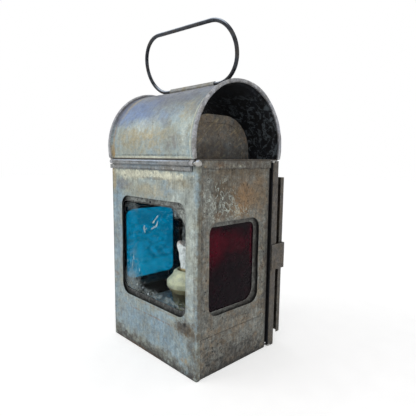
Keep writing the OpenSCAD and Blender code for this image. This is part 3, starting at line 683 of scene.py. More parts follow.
# The front lining is pale along the top and in its upper right corner, and dark at the foot
FRONT_LINING_STAINS = on_wall("y", low("front_pane_frame")[1] + 2.3, 2, (
    ("pale", -6, 119.6, 40, 2.4, 0.4, 1.0, 240, 0.5),
    ("pale", 34, 113, 7, 7, 0.55, 0.9, 200, 0.5),
    ("soot", -4, 116.6, 40, 1.1, 0.9, 1.0, 260, 0.9, 0.4),
    ("soot", 0, 42, 46, 4.4, 0.75, 1.1, 260, 0.9, 0.6),
    ("soot", -38, 80, 3.6, 46, 0.45, 0.9, 240, 0.9, 0.5),
    ("soot", 40, 74, 2.6, 34, 0.6, 0.9, 240, 0.9, 0.5),
))

# The top bands carry rust and a dried cream line
BAND_STAINS = on_wall("x", CASE_X, 3, (
    ("rust", -20, 147, 6, 2, 0.5, 1.3, 330, 0.9),
    ("ochre", -33, 147, 3, 2, 0.35, 1.3, 330, 0.9),
    ("cream", -8, 146, 14, 0.9, 0.5, 1.6, 420, 0.9, 1.0),
))

# The chimney's right end is browned at the top and dark and grey-blue low down
CHIMNEY_STAINS = on_wall("x", 29, 6, (
    ("warm_side", -12, 176, 20, 8, 0.4, 0.9, 110, 0.4),
    ("dark_inside", -2, 157, 26, 8, 0.5, 0.8, 90, 0.5, 0.4),
    ("chimney_cool", 20, 158, 12, 12, 0.6, 0.9, 160, 0.5),
    ("brown", 24, 178, 6, 10, 0.5, 1.0, 200, 0.8),
))

# The door keeps a blue sheen in its middle, over brown and soot at the foot
DOOR_STAINS = [
    Stain("blue_tin", (0, 43, 100), (30, 3, 22), 0.25, 0.9, 70, 0.2),
    Stain("brown", (-20, 43, 30), (24, 3, 18), 0.45, 0.9, 80, 0.8),
    Stain("soot", (0, 42, 1), (60, 6, 7), 0.6, 0.8, 150, 0.9),
]

# Deeper and paler parts of the blue pane
BLUE_TINTS = on_wall("x", low("left_glass")[0], 4, (
    ("blue_deep", -4, 99, 18, 7, 0.7, 0.8, 90, 0.0, 0.2),
    ("blue_deep", 14, 80, 8, 26, 0.5, 0.8, 90, 0.0, 0.2),
    ("blue_pale", -20, 62, 10, 18, 0.6, 0.8, 90, 0.0, 0.4),
    ("blue_pale", -2, 54, 24, 6, 0.5, 0.8, 90, 0.0, 0.4),
))

# Painted light and shade on the red pane: it is brighter at the upper left and in a thin line near its rear edge,
# and nearly black low down
RED_TINTS = on_wall("x", high("right_glass")[0], 4, (
    ("red_bright", -22, 90, 12, 15, 0.9, 0.7, 90, 0.0, 0.3),
    ("red_bright", -4, 92, 20, 8, 0.6, 0.9, 110, 0.0, 0.5),
    ("red_deep", -4, 56, 34, 24, 0.95, 0.7, 90, 0.0, 0.2),
    ("red_deep", -4, 105, 30, 5.0, 0.9, 0.8, 120, 0.0, 0.2),
    ("red_bright", 17.2, 88, 0.8, 16, 0.9, 0.25, 120, 0.0, 0.3),
))

# Smears on the clear pane
SMEARS = on_wall("y", PANE_Y, 3, (
    ("pale", -31, 50, 11, 13, 0.42, 0.7, 80, 0.0, 0.25),
    ("pale", -34, 44, 6, 6, 0.5, 1.0, 170, 0.0, 0.7),
    ("pale", -27, 68, 9, 14, 0.13, 1.2, 200, 0.0, 0.9),
    ("pale", 4, 46, 40, 4, 0.35, 1.2, 240, 0.0, 0.9),
    ("pale", 33, 114, 12, 4, 0.4, 1.0, 180, 0.0, 0.7),
    ("pale", -28, 113, 12, 4, 0.16, 0.8, 120, 0.0, 0.5),
    ("pale", 36, 100, 3, 20, 0.22, 1.1, 200, 0.0, 0.8),
))


# Finishes

def soot_and_shade_over(tree, mask, marks, flakes=0.0):
    """Covers the faces in a mask with near-black matt, soot together with painted shade of the closed inside, with
    spots of tin left where flakes says.
    """
    shader = tree.nodes["Principled BSDF"].inputs
    colour, metal, rough = (Field(shader[name].links[0].from_socket)
                            for name in ("Base Color", "Metallic", "Roughness"))
    soot = blend(flakes, blend(marks["Patches"] * 0.6, "soot", "dark_inside"), "green_dark")
    feed(shader["Base Color"], blend(mask, colour, soot))
    feed(shader["Metallic"], metal * (1.0 - mask))
    feed(shader["Specular IOR Level"], span(mask, 0.0, 1.0, 0.5, 0.15))
    feed(shader["Roughness"], calc("MAXIMUM", rough, mask * 0.75))


def tin_finish(name, base, cool, warm, stains=(), shift=(0, 0, 0), metal=0.55, shine=0.42, cool_share=0.45,
               warm_share=0.35, dapple=0.45, blots=0.3, contrast=1.0, brush=0.07, runs=0.14, specks=0.5,
               wear=0.5, dirt=0.85, relief=0.00022, scratches=0.3, sweeps=0.0, inner=None):
    """Weathered tin: a base colour that drifts to a cool and a warm one and is dappled with both, with runs
    and scratches, then the stains at their places, blots, specks, dirt and painted shade in corners, worn
    edges, and soot with painted shade on inner faces."""
    material, tree, shader = new_material(name)
    marks = group(tree, "weather", Shift=shift)
    colour = base
    for mask, share, other in (("Clouds", cool_share, cool), ("Patches", warm_share, warm),
                               ("Warm Dapple", dapple, warm), ("Cool Dapple", dapple, cool),
                               ("Runs", runs, "grime"), ("Scratches", scratches, "bare"),
                               ("Sweeps", sweeps, "tan")):
        if share:
            colour = blend(marks[mask] * share, colour, other)
    dull = marks["Patches"] * 0.5
    for stain in stains:
        amount = stain.mask(tree)
        if stain.curls:
            amount = amount * marks["Curls"]
        colour = blend(amount, colour, stain.colour)
        dull = calc("MAXIMUM", dull, amount * stain.dull)
    tone = vary(marks["Mottle"], 0.22 * contrast, 0.2 * contrast)
    tone = tone * vary(marks["Grain"], 0.12 * contrast, 0.12 * contrast)
    tone = tone * vary(marks["Brush"], brush, brush) * vary(marks["Clouds"], 0.08, 0.08)
    colour = blend(1.0, colour, grey(tone), "MULTIPLY")
    # Dirt and painted shade where the surroundings close in
    dirt_and_shade = group(tree, "crevice dirt")["Mask"]
    worn = group(tree, "worn edge")["Mask"]
    for mask, share, other in ((marks["Blots"], blots, "grime"), (marks["Specks"], specks, "soot"),
                               (dirt_and_shade, dirt, "soot"), (worn, wear, "bare")):
        colour = blend(mask * share, colour, other)
    feed(shader["Base Color"], colour)
    feed(shader["Metallic"], calc("SUBTRACT", 1.0, calc("MAXIMUM", dull, dirt_and_shade), clamp=True) * metal)
    feed(shader["Roughness"], calc("ADD", dull * 0.3 + marks["Mottle"] * 0.16, shine, clamp=True))
    bump(shader, 0.8, relief, marks["Mottle"] * 0.6 + marks["Grain"] * 0.3 - marks["Specks"] * 0.5)
    if inner:
        half, front, back = (v * MM for v in inner)
        soot_and_shade_over(tree, group(tree, "inner faces", Half_Width=half, Front=front, Back=back)["Mask"], marks)
    return material


def hood_finish(name, *colours, **settings):
    """Weathered tin outside, and soot with painted shade on the inner face, where the mesh's own mask is 1."""
    material = tin_finish(name, *colours, **settings)
    tree = material.node_tree
    inside = add_node(tree, "ShaderNodeAttribute", {"attribute_name": INSIDE})["Fac"]
    marks = group(tree, "weather", Shift=(0.6, 0.1, 0.2))
    back = span(axis_of(here_in(tree), "Y"), 0.006, 0.036)
    soot_and_shade_over(tree, span(inside, 0.3, 0.7), marks, span(marks["Warm Dapple"], 0.15, 0.9) * back)
    return material


def glass_finish(name, tint, roughness, ripple, shadow_tint, shift, tints=(), clearness=1.0, depth=0.3,
                 ior=1.05):
    """A pane: rolled ripples that deepen its colour, stains of other tints, and dirt that is rougher in
    patches. On shadow rays it is a tinted clear sheet, so lamps reach what is behind it. Its IOR is low,
    which keeps the white room's reflection faint, as on dirty glass."""
    material, tree, shader = new_material(name)
    marks = group(tree, "weather", Shift=shift)
    here = here_in(tree)
    rolled = span(clouds(vector_calc("MULTIPLY", here, (1.0, 1.0, 2.2)), 150, 5, 0.65, 1.0), 0.4, 0.56)
    colour = blend(rolled, tint, (*(c * (1 - depth) for c in hue(tint)[:3]), 1.0))
    for stain in tints:
        colour = blend(stain.mask(tree), colour, stain.colour)
    feed(shader["Base Color"], colour)
    film = calc("MAXIMUM", marks["Patches"] * 0.6, marks["Scratches"])
    feed(shader["Roughness"], span(film, 0.0, 1.0, *roughness))
    shader["Transmission Weight"].default_value = clearness
    shader["IOR"].default_value = ior
    bump(shader, ripple, 0.0006, clouds(vector_calc("MULTIPLY", here, (1.0, 1.0, 3.2)), 120, 2, 0.5, 0.6))
    through = add_node(tree, "ShaderNodeBsdfTransparent", Color=hue(shadow_tint))["BSDF"]
    glass = Field(tree.nodes["Principled BSDF"].outputs["BSDF"])
    shadow = add_node(tree, "ShaderNodeLightPath")["Is Shadow Ray"]
    surface(tree, "ShaderNodeMixShader", (0, 1, 2), shadow, glass, through)
    return material


def film_finish(name):
    """A haze of dirt on the clear pane: see-through but for smears at their places and a little dust all
    over."""
    material, tree, shader = new_material(name)
    marks = group(tree, "weather", Shift=(0.15, 0.35, 0.75))
    haze = marks["Patches"] * 0.005 + marks["Specks"] * 0.08
    for smear in SMEARS:
        haze = calc("MAXIMUM", haze, smear.mask(tree))
    feed(shader["Base Color"], blend(marks["Mottle"], "haze", "pale"))
    feed(shader["Alpha"], haze)
    shader["Roughness"].default_value = 0.8
    shader["Specular IOR Level"].default_value = 0.1
    return material


def polished(shader, marks, colour, metal, smooth, rough):
    """Metal of that colour, rougher where it is mottled and finely pitted there."""
    feed(shader["Base Color"], colour)
    shader["Metallic"].default_value = metal
    feed(shader["Roughness"], span(marks["Mottle"], 0.0, 1.0, smooth, rough))
    bump(shader, 0.6, 0.00015, marks["Mottle"])


def brass_finish(name, base, tarnish, shift, shine=0.4, metal=0.7, marked=1.0, rim_z=None):
    """Old brass: it drifts to its tarnish in clouds, with dark specks and a little dirt and painted shade in
    its corners, and painted shade darkens it below a rim."""
    material, tree, shader = new_material(name)
    marks = group(tree, "weather", Shift=shift)
    colour = blend(marks["Patches"] * 0.6, base, tarnish)
    if rim_z:
        # Painted shade under the gallery's rim
        below = span(axis_of(here_in(tree), "Z"), (rim_z + 0.1) * MM, (rim_z - 0.6) * MM)
        colour = blend(below * 0.9, colour, "brass_dark")
    tone = vary(marks["Mottle"], 0.25 * marked, 0.2 * marked)
    colour = blend(1.0, colour, grey(tone), "MULTIPLY")
    colour = blend(marks["Specks"] * (0.7 * marked), colour, "soot")
    colour = blend(group(tree, "crevice dirt", Reach=0.003)["Mask"] * 0.8, colour, "soot")
    polished(shader, marks, colour, metal, shine, shine + 0.3)
    return material


def wire_finish(name, base, bright, shift):
    """Drawn steel wire, dark with fine rust, and a painted highlight: a bright line along its upper front, where
    the normal faces that way.
    """
    material, tree, shader = new_material(name)
    marks = group(tree, "weather", Shift=shift)
    highlight_way = (0.25, -0.6, 0.76)
    facing = vector_calc("DOT_PRODUCT", add_node(tree, "ShaderNodeNewGeometry")["Normal"], highlight_way)
    colour = blend(marks["Mottle"], base, bright)
    # The sheen colour where the normal faces the upper front is a painted highlight
    for mask, share, other in ((marks["Patches"], 0.2, "brown"), (span(facing, 0.82, 0.97), 0.8, "sheen"),
                               (marks["Specks"], 0.6, "soot")):
        colour = blend(mask * share, colour, other)
    polished(shader, marks, colour, 0.85, 0.32, 0.6)
    return material


def cotton_finish(name):
    """Braided cotton: white, grey in patches and, as painted shade, between the strands, with black charred specks
    and a scorched tip.
    """
    material, tree, shader = new_material(name)
    here = here_in(tree)
    marks = group(tree, "weather", Shift=(0.9, 0.3, 0.1))
    dirt_and_shade = group(tree, "crevice dirt", Reach=0.0014)["Mask"]
    colour = "cotton"
    for mask, share, other in ((marks["Patches"], 0.2, "cotton_grey"), (dirt_and_shade, 0.45, "cotton_grey"),
                               (marks["Specks"], 1.0, "soot"),
                               (span(axis_of(here, "Z"), 0.0815, 0.0838), 0.6, "scorch")):
        colour = blend(mask * share, colour, other)
    feed(shader["Base Color"], colour)
    shader["Roughness"].default_value = 0.95
    shader["Sheen Weight"].default_value = 0.3
    bump(shader, 0.8, 0.0003, clouds(vector_calc("MULTIPLY", here, (1, 1, 0.5)), 1500, 3, 0.6))
    return material


def finish(name):
    """The finish of that name, made the first time it is asked for."""
    made = bpy.data.materials.get(name)
    if made:
        return made
    kind, *values, settings = FINISHES[name]
    return kind(name, *values, **settings)


CASE_INNER = (SIDE_X - SHEET / 2, FRONT_Y + SHEET / 2, 200.0)
LINING_INNER = (49.0, low("front_pane_frame")[1] + 2.6, 200.0)
DOOR_INNER = (high("door_panel")[0] - SHEET / 2, -100.0, high("door_panel")[1] - SHEET / 2)

# A finish's function, its own values and its settings
FINISHES = {
    "front tin": (tin_finish, "green_tin", "blue_tin", "tan", FRONT_STAINS, dict(
        metal=0.6, cool_share=0.55, specks=0.45, dapple=0.2, contrast=0.8, inner=CASE_INNER)),
    "left tin": (tin_finish, "green_tin", "blue_tin", "tan", dict(
        shift=(0.4, 0.2, 0.1), warm_share=0.4, dapple=0.2, contrast=0.8, inner=CASE_INNER)),
    "right tin": (tin_finish, "side_tin", "side_pale", "warm_side", RIGHT_STAINS, dict(
        shift=(0.1, 0.5, 0.0), metal=0.4, shine=0.5, runs=0.3, dapple=0.35, blots=0.55, contrast=1.2,
        specks=1.0, warm_share=0.6, relief=0.00035, inner=CASE_INNER)),
    "band tin": (tin_finish, "band_tin", "side_pale", "brown", BAND_STAINS, dict(
        shift=(0.7, 0.0, 0.3), metal=0.3, shine=0.55, specks=1.0, wear=0.3, contrast=1.4, relief=0.0004)),
    "lap tin": (tin_finish, "lap_tin", "brown", "tan", dict(
        shift=(0.0, 0.7, 0.2), metal=0.3, shine=0.55, runs=0.1, specks=0.8, wear=0.3, contrast=1.4)),
    "strip tin": (tin_finish, "strip_tin", "blue_tin", "grime", STRIP_STAINS, dict(
        shift=(0.3, 0.3, 0.9), metal=0.6, specks=0.3, dapple=0.1, wear=0.4, dirt=0.5, contrast=0.5)),
    "tube tin": (tin_finish, "strip_tin", "blue_tin", "tan", dict(
        shift=(0.5, 0.3, 0.2), shine=0.4, specks=0.1, wear=0.2, dirt=0.4, dapple=0.1, warm_share=0.6,
        contrast=0.5, runs=0.0, blots=0.1)),
    "hood tin": (hood_finish, "green_tin", "blue_tin", "tan", HOOD_STAINS, dict(
        shift=(0.2, 0.0, 0.4), metal=0.7, shine=0.36, warm_share=0.3, cool_share=0.5, dapple=0.18, blots=0.12,
        contrast=0.6, brush=0.03, specks=0.35, runs=0.08, relief=0.00012)),
    "rim tin": (tin_finish, "rim_tin", "violet_tin", "brown", dict(
        shift=(0.5, 0.9, 0.3), metal=0.6, shine=0.4, dirt=0.3, dapple=0.3)),
    "deck tin": (tin_finish, "band_tin", "grime", "brown", dict(
        shift=(0.2, 0.4, 0.6), metal=0.25, shine=0.6, wear=0.0, scratches=0.1)),
    "chimney tin": (tin_finish, "chimney_tin", "chimney_cool", "warm_side", CHIMNEY_STAINS, dict(
        shift=(0.8, 0.2, 0.6), metal=0.35, shine=0.5, specks=0.9, scratches=0.8, runs=0.05, sweeps=0.55,
        dirt=0.7, wear=0.4, contrast=1.2)),
    "door tin": (tin_finish, "door_tin", "grime", "brown", DOOR_STAINS, dict(
        shift=(0.1, 0.8, 0.5), metal=0.45, shine=0.44, specks=0.8, wear=0.9, contrast=1.5, inner=DOOR_INNER)),
    "front lining": (tin_finish, "inner_tin", "side_pale", "grime", FRONT_LINING_STAINS, dict(
        shift=(0.9, 0.6, 0.1), metal=0.2, shine=0.55, specks=0.9, contrast=1.8, blots=0.6,
        inner=LINING_INNER)),
    "side lining": (tin_finish, "door_tin", "side_pale", "grime", dict(
        shift=(0.9, 0.6, 0.1), metal=0.2, shine=0.6, specks=1.0, contrast=1.5, blots=0.6,
        inner=LINING_INNER)),
    # Sooty tin: soot with painted shade, for the collar inside the case
    "sooty tin": (tin_finish, "dark_inside", "grime", "soot", dict(
        shift=(0.6, 0.6, 0.6), metal=0.15, shine=0.6, specks=0.9, wear=0.15)),
    "base tin": (tin_finish, "grime", "dark_inside", "brown", dict(
        shift=(0.6, 0.6, 0.6), metal=0.2, shine=0.55, specks=0.9, contrast=1.3)),
    # Fount tin: its tin colour with painted blue reflected light
    "fount tin": (tin_finish, "fount_tin", "blue_tin", "grime", dict(
        shift=(0.2, 0.9, 0.8), metal=0.3, shine=0.24, wear=0.3, dapple=0.2)),
    "fleck": (tin_finish, "fleck", "haze", "cream", dict(
        metal=0.0, shine=0.6, specks=0.2, dirt=0.0, wear=0.0)),
    "solder": (wire_finish, "solder", "bare", (0.4, 0.4, 0.4), {}),
    "handle wire": (wire_finish, "wire", "wire_bright", (0.1, 0.1, 0.7), {}),
    "pin wire": (wire_finish, "strip_tin", "bare", (0.2, 0.6, 0.7), {}),
    "clear pane": (glass_finish, "clear_glass", (0.0, 0.02), 0.04, (0.97, 0.98, 0.98), (0.3, 0.1, 0.5),
                   dict(depth=0.03)),
    "blue pane": (glass_finish, "blue_glass", (0.1, 0.22), 0.7, (0.02, 0.35, 0.5), (0.5, 0.1, 0.3),
                  BLUE_TINTS, dict(clearness=0.9, depth=0.5)),
    "red pane": (glass_finish, "red_glass", (0.1, 0.4), 0.8, (0.3, 0.01, 0.02), (0.7, 0.3, 0.5), RED_TINTS,
                 dict(clearness=0.75, depth=0.5, ior=1.14)),
    "pane film": (film_finish, {}),
    "brass": (brass_finish, "brass", "brass_dark", (0.1, 0.3, 0.5), dict(shine=0.3, metal=0.25)),
    "pale brass": (brass_finish, "brass_pale", "brass_cool", (0.6, 0.3, 0.5), dict(
        shine=0.5, metal=0.35, marked=0.4, rim_z=GALLERY_RIM_Z)),
    "braided cotton": (cotton_finish, {}),
}


# Settings that a user would change

# Each colour's label, what it is for, and its value in linear light
COLOURS = {
    "green_tin": ("Green-grey tin", "Bright weathered tin of the front and hood", (0.375, 0.430, 0.390)),
    "blue_tin": ("Blue tin", "Where the tin keeps a blue sheen", (0.195, 0.310, 0.415)),
    # Hood sky reflection: painted reflection of blue sky on the hood's upper left
    "hood_blue": ("Hood blue", "Blue sheen on the hood's upper left", (0.175, 0.250, 0.420)),
    "violet_tin": ("Violet tin", "Blue-grey sheen over the hood's top", (0.155, 0.172, 0.235)),
    "tan": ("Tan", "Yellowed tin", (0.430, 0.370, 0.230)),
    "pale": ("Pale", "Rubbed pale patches", (0.520, 0.570, 0.520)),
    "cream": ("Cream", "Dried cream deposits", (0.800, 0.800, 0.640)),
    "ochre": ("Ochre", "Yellow-brown rust", (0.480, 0.330, 0.140)),
    # Sheen: the colour of painted highlights on the hinge barrel and along the wires
    "sheen": ("Sheen", "Metal rubbed bright with a blue sheen", (0.560, 0.640, 0.760)),
    "rust": ("Rust", "Orange rust", (0.300, 0.160, 0.065)),
    "brown": ("Brown", "Brown rust and varnish", (0.150, 0.115, 0.072)),
    "grime": ("Grime", "Dark grey-brown dirt", (0.070, 0.064, 0.058)),
    "soot": ("Soot", "Soot and black specks", (0.012, 0.012, 0.013)),
    "bare": ("Bare metal", "Edges and scratches worn bright", (0.520, 0.520, 0.490)),
    "side_tin": ("Side tin", "Brown-grey tin of the right side", (0.225, 0.228, 0.205)),
    "side_pale": ("Side pale", "Grey areas of the right side", (0.285, 0.305, 0.285)),
    "warm_side": ("Warm side", "Brown-tan areas of the right side", (0.290, 0.205, 0.120)),
    "band_tin": ("Band tin", "Top bands and deck", (0.125, 0.110, 0.092)),
    "lap_tin": ("Lap tin", "Solder along the laps", (0.165, 0.148, 0.120)),
    "strip_tin": ("Strip tin", "Hinge strip", (0.345, 0.345, 0.335)),
    "rim_tin": ("Rim tin", "The hood's wired edges", (0.520, 0.530, 0.540)),
    "chimney_tin": ("Chimney tin", "Smoke-browned chimney", (0.175, 0.158, 0.132)),
    "chimney_cool": ("Cool chimney", "Grey-blue parts of the chimney", (0.150, 0.165, 0.172)),
    "door_tin": ("Door tin", "Back door, rails and strap", (0.112, 0.104, 0.094)),
    "inner_tin": ("Inner tin", "Linings round the panes", (0.135, 0.148, 0.150)),
    # Fount tin: tin with a painted reflection of blue light
    "fount_tin": ("Fount tin", "Oil fount", (0.500, 0.740, 0.880)),
    "dark_inside": ("Dark inside", "Blue-black inner faces", (0.018, 0.022, 0.030)),
    "green_dark": ("Dark green-grey", "Flaked spots inside the hood", (0.110, 0.130, 0.145)),
    "wire": ("Wire", "Dark handle wire", (0.012, 0.013, 0.017)),
    "wire_bright": ("Bright wire", "Worn stretches of wire", (0.060, 0.068, 0.082)),
    "solder": ("Solder", "Beads of solder", (0.520, 0.560, 0.600)),
    "brass": ("Brass", "Dull burner brass", (0.700, 0.660, 0.420)),
    "brass_dark": ("Dark brass", "Tarnished brass", (0.420, 0.370, 0.190)),
    "brass_pale": ("Pale brass", "Gallery of the burner", (0.660, 0.700, 0.500)),
    "brass_cool": ("Cool brass", "Blue-grey tarnish on the gallery", (0.420, 0.480, 0.420)),
    "cotton": ("Cotton", "White wick", (0.880, 0.950, 0.960)),
    "cotton_grey": ("Grey cotton", "Between the wick's strands", (0.300, 0.400, 0.430)),
    "scorch": ("Scorch", "The wick's worn tip", (0.520, 0.360, 0.300)),
    "haze": ("Haze", "Dust and smears on the clear pane", (0.400, 0.500, 0.560)),
    "fleck": ("Fleck", "White strokes on the clear pane", (0.600, 0.680, 0.720)),
    "clear_glass": ("Clear glass", "Front pane", (0.980, 0.990, 0.985)),
    "blue_glass": ("Blue glass", "Left pane", (0.001, 0.240, 0.450)),
    "blue_deep": ("Deep blue glass", "Darker part of the left pane", (0.001, 0.125, 0.250)),
    "blue_pale": ("Pale blue glass", "Lighter part of the left pane", (0.004, 0.280, 0.470)),
    "red_glass": ("Red glass", "Right pane", (0.100, 0.010, 0.032)),
    # Painted light and painted shade on the right pane
    "red_bright": ("Bright red glass", "Lighter parts of the right pane", (0.330, 0.008, 0.045)),
    "red_deep": ("Deep red glass", "Nearly black parts of the right pane", (0.022, 0.014, 0.024)),
}


class LampFinish(bpy.types.PropertyGroup):
    """Colours of the lamp, in linear light."""

    __annotations__ = {
        key: bpy.props.FloatVectorProperty(name=label, description=words, default=value, subtype="COLOR",
                                           size=3, min=0.0, max=1.0)
        for key, (label, words, value) in COLOURS.items()}


class LampForm(bpy.types.PropertyGroup):
    """Sizes that give the lamp its hand-made, battered look."""

    dent_depth: bpy.props.FloatProperty(
        name="Dent depth", description="How far the sheets bulge, in millimetres", default=0.28, min=0.0,
        max=0.6)
    hem_height: bpy.props.FloatProperty(
        name="Hem height", description="Height of the fold line along the foot, in millimetres", default=4.2,
        min=2.0, max=8.0)
    braid_depth: bpy.props.FloatProperty(
        name="Braid depth", description="Depth of the wick's braid, in millimetres", default=0.5, min=0.0,
        max=1.0)


class LampStage(bpy.types.PropertyGroup):
    """Camera and lights."""

    camera_place: bpy.props.FloatVectorProperty(
        name="Camera place", description="Where the camera stands", default=(0.23695, -0.20726, 0.15161),
        subtype="TRANSLATION", unit="LENGTH", size=3)
    camera_turn: bpy.props.FloatVectorProperty(
        name="Camera turn", description="Yaw, pitch and roll of the camera",
        default=(math.radians(46.3543), math.radians(-7.3080), math.radians(0.6498)),
        subtype="EULER", unit="ROTATION", size=3)
    lens_mm: bpy.props.FloatProperty(name="Lens", description="Focal length on a 36 mm square sensor",
                                     default=33.777, min=10.0, max=200.0)
    key_power: bpy.props.FloatProperty(
        name="Key power", description="Power of the large lamp at the front left", default=3.4, min=0.0,
        unit="POWER")
    fill_power: bpy.props.FloatProperty(name="Fill power", description="Power of the lamp behind the camera",
                                        default=0.7, min=0.0, unit="POWER")
    sky_strength: bpy.props.FloatProperty(
        name="Sky strength", description="Light of the surroundings on matt faces", default=0.55, min=0.0)


# Sheets of the case

def sheet_dents(points, seed):
    """Shallow bulges of a hand-worked sheet, in millimetres."""
    depth = bpy.context.scene.lamp_form.dent_depth
    return depth * (0.7 * noise_field(points, 55, seed) + 0.3 * noise_field(points, 21, seed + 1))


def hem_line(height):
    """A shallow groove where the sheet's foot is folded back."""
    return -0.22 * groove(height, bpy.context.scene.lamp_form.hem_height, 0.5)


class LAMP_OT_front_sheet(bpy.types.Operator):
    """Front wall with its window, its folded foot and the laps round both corners"""

    bl_idname = "lamp.front_sheet"
    bl_label = "Front Sheet"

    def execute(self, context):
        edge_x = CASE_X - BEND_R

        def dent(face):
            """Bulges that fade out towards the sheet's edges, and the fold line over its foot."""
            x, z = face[..., 0], face[..., 1]
            rim = fade(edge_x - np.abs(x), 5) * fade(EAVE_Z - z, 12) * fade(z, 3)
            return sheet_dents(triples(x, 0, z), seed=11) * rim + hem_line(z) * fade(edge_x - np.abs(x), 2)

        def place(face, out):
            """Points of the flat pattern in space, that far out of the wall."""
            return triples(face[..., 0], FRONT_Y - out, face[..., 1])

        plate = windowed_plate(FRONT_WINDOW, (-edge_x, 0), (edge_x, EAVE_Z), place, dent)
        heights = np.linspace(0, EAVE_Z, 76)
        shape = Shape()
        shape.sweep(plate, closed_path=True)
        for side, _ in SIDES:
            wave = noise_field(triples(heights, 0, 0), 30, seed=21 + side) * 0.07
            wobble = np.stack([-side * np.abs(wave), np.zeros_like(wave)], 1)
            wobble[0] = wobble[-1] = 0
            bend = ((side * edge_x, FRONT_Y), (side * CASE_X, FRONT_Y), (side * CASE_X, LAP_END_Y))
            shape.sweep(corner_strip(*bend, heights, wobble))
        shape.piece("front_sheet", "case", "tin_front", "front tin", "front_panel")
        for side, label in SIDES:
            self.lap_bead(side, label)
        return {"FINISHED"}

    def lap_bead(self, side, label):
        """Brown solder down the lap: a thin wavy tube half sunk in the step."""
        line = triples(side * (SIDE_X - 0.1), LAP_END_Y + 0.15, np.linspace(1.0, EAVE_Z - 8, 150))
        radius = 0.55 + 0.14 * noise_field(line, 6, seed=31 + side)
        line[:, 1] += 0.18 * noise_field(line, 17, seed=35 + side)
        shape = Shape()
        shape.sweep(tube(line, RIGHT, BACK, radius, 10))
        shape.piece("lap_solder_" + label, "case", "tin_side", "lap tin")


class LAMP_OT_side_sheets(bpy.types.Operator):
    """Side walls with their windows and the flanges that turn in at the back"""

    bl_idname = "lamp.side_sheets"
    bl_label = "Side Sheets"

    def execute(self, context):
        for side, label in SIDES:
            self.wall(side, label)
        return {"FINISHED"}

    def wall(self, side, label):
        front_edge = low(label + "_panel")[1]
        back_edge = REAR_Y - BEND_R
        flange_end = SIDE_X - 7.0

        def dent(face):
            """Bulges that fade out towards the edges, the fold line, and a crease across the right wall."""
            y, z = face[..., 0], face[..., 1]
            rim = fade(y - front_edge, 5) * fade(back_edge - y, 6) * fade(EAVE_Z - z, 9) * fade(z, 3)
            crease = -0.25 * groove(z + 0.06 * (y + 5), 28.6, 0.45) * (side > 0)
            lines = (hem_line(z) + crease) * fade(y - front_edge, 3)
            return sheet_dents(triples(0, y, z), seed=51 + side) * rim + lines

        def place(face, out):
            """Points of the flat pattern in space, that far out of the wall."""
            return triples(side * (SIDE_X + out), face[..., 0], face[..., 1])

        plate = windowed_plate(SIDE_WINDOW, (front_edge, 0), (back_edge, EAVE_Z), place, dent)
        heights = np.linspace(0, EAVE_Z, 40)
        bend = ((side * SIDE_X, back_edge), (side * SIDE_X, REAR_Y), (side * flange_end, REAR_Y))
        shape = Shape()
        shape.sweep(plate, closed_path=True)
        shape.sweep(corner_strip(*bend, heights, np.zeros((len(heights), 2))))
        shape.piece(label + "_sheet", "case", WALL_SLOT[side], label + " tin", label + "_panel")


class LAMP_OT_top_bands(bpy.types.Operator):
    """Uneven folded bands along the tops of the side walls"""

    bl_idname = "lamp.top_bands"
    bl_label = "Top Bands"

    def execute(self, context):
        """A rounded section drawn back along the wall, which swells a little and whose lower edge wanders."""
        for side, label in SIDES:
            first, last = low(label + "_top_band"), high(label + "_top_band")
            line = triples(0, np.linspace(first[1], last[1], 90), 0)
            inner, outer = sorted((abs(first[0]), abs(last[0])))
            section = rounded_loop((0, 0), (outer - inner) / 2, (last[2] - first[2]) / 2, 0.45, 6, 5)
            lift = 0.16 * noise_field(line, 9, seed=61 + side)[:, None]
            swell = 0.08 * noise_field(line, 5, seed=65 + side)[:, None]
            across = (inner + outer) / 2 + section[:, 0] * (1 + swell * 2)
            up = (first[2] + last[2]) / 2 + section[:, 1] + np.where(section[:, 1] < 0, lift * 1.6, 0.0)
            shape = Shape()
            shape.sweep(triples(side * across, line[:, 1:2], up))
            shape.piece(label + "_band", "case", WALL_SLOT[side], "band tin", label + "_top_band")
        return {"FINISHED"}


class LAMP_OT_case_fittings(bpy.types.Operator):
    """Base, collar, pane frames, hinge strip, ears, pins and spring of the case"""

    bl_idname = "lamp.case_fittings"
    bl_label = "Case Fittings"

    def execute(self, context):
        softened("base_plate", "base tin")
        softened("rear_collar", "sooty tin")
        for wall, lining in (("front", "front lining"), ("left", "side lining"), ("right", "side lining")):
            softened(wall + "_pane_frame", lining, 0.2)
        softened("hood_hinge_strip", "strip tin", 0.18)
        for node, round_mm in (("hood_hinge_pin", 0.1), ("door_hinge_ears", 0.12), ("door_hinge_pin", 0.1),
                               ("door_catch_spring", 0.12)):
            softened(node, "pin wire", round_mm)
        return {"FINISHED"}


def dome(centre, out, across, up, radius, height, seed):
    """A bead of solder: rings that shrink to a point as they rise, with a wavy edge."""
    rise = np.linspace(0, 1, 6)[:-1]
    angle = np.linspace(0, 2 * math.pi, 16, endpoint=False)
    draw = np.random.default_rng(seed)
    wave = 1 + 0.14 * np.sin(2 * angle + draw.uniform(0, 6)) + 0.08 * np.sin(3 * angle + draw.uniform(0, 6))
    ring = radius * np.sqrt(1 - rise[:, None] ** 2) * wave[None, :]
    loops = np.array(centre) + out * (height * rise[:, None, None] - 0.1)
    spokes = np.outer(np.cos(angle), across) + np.outer(np.sin(angle), up)
    return loops + ring[..., None] * spokes


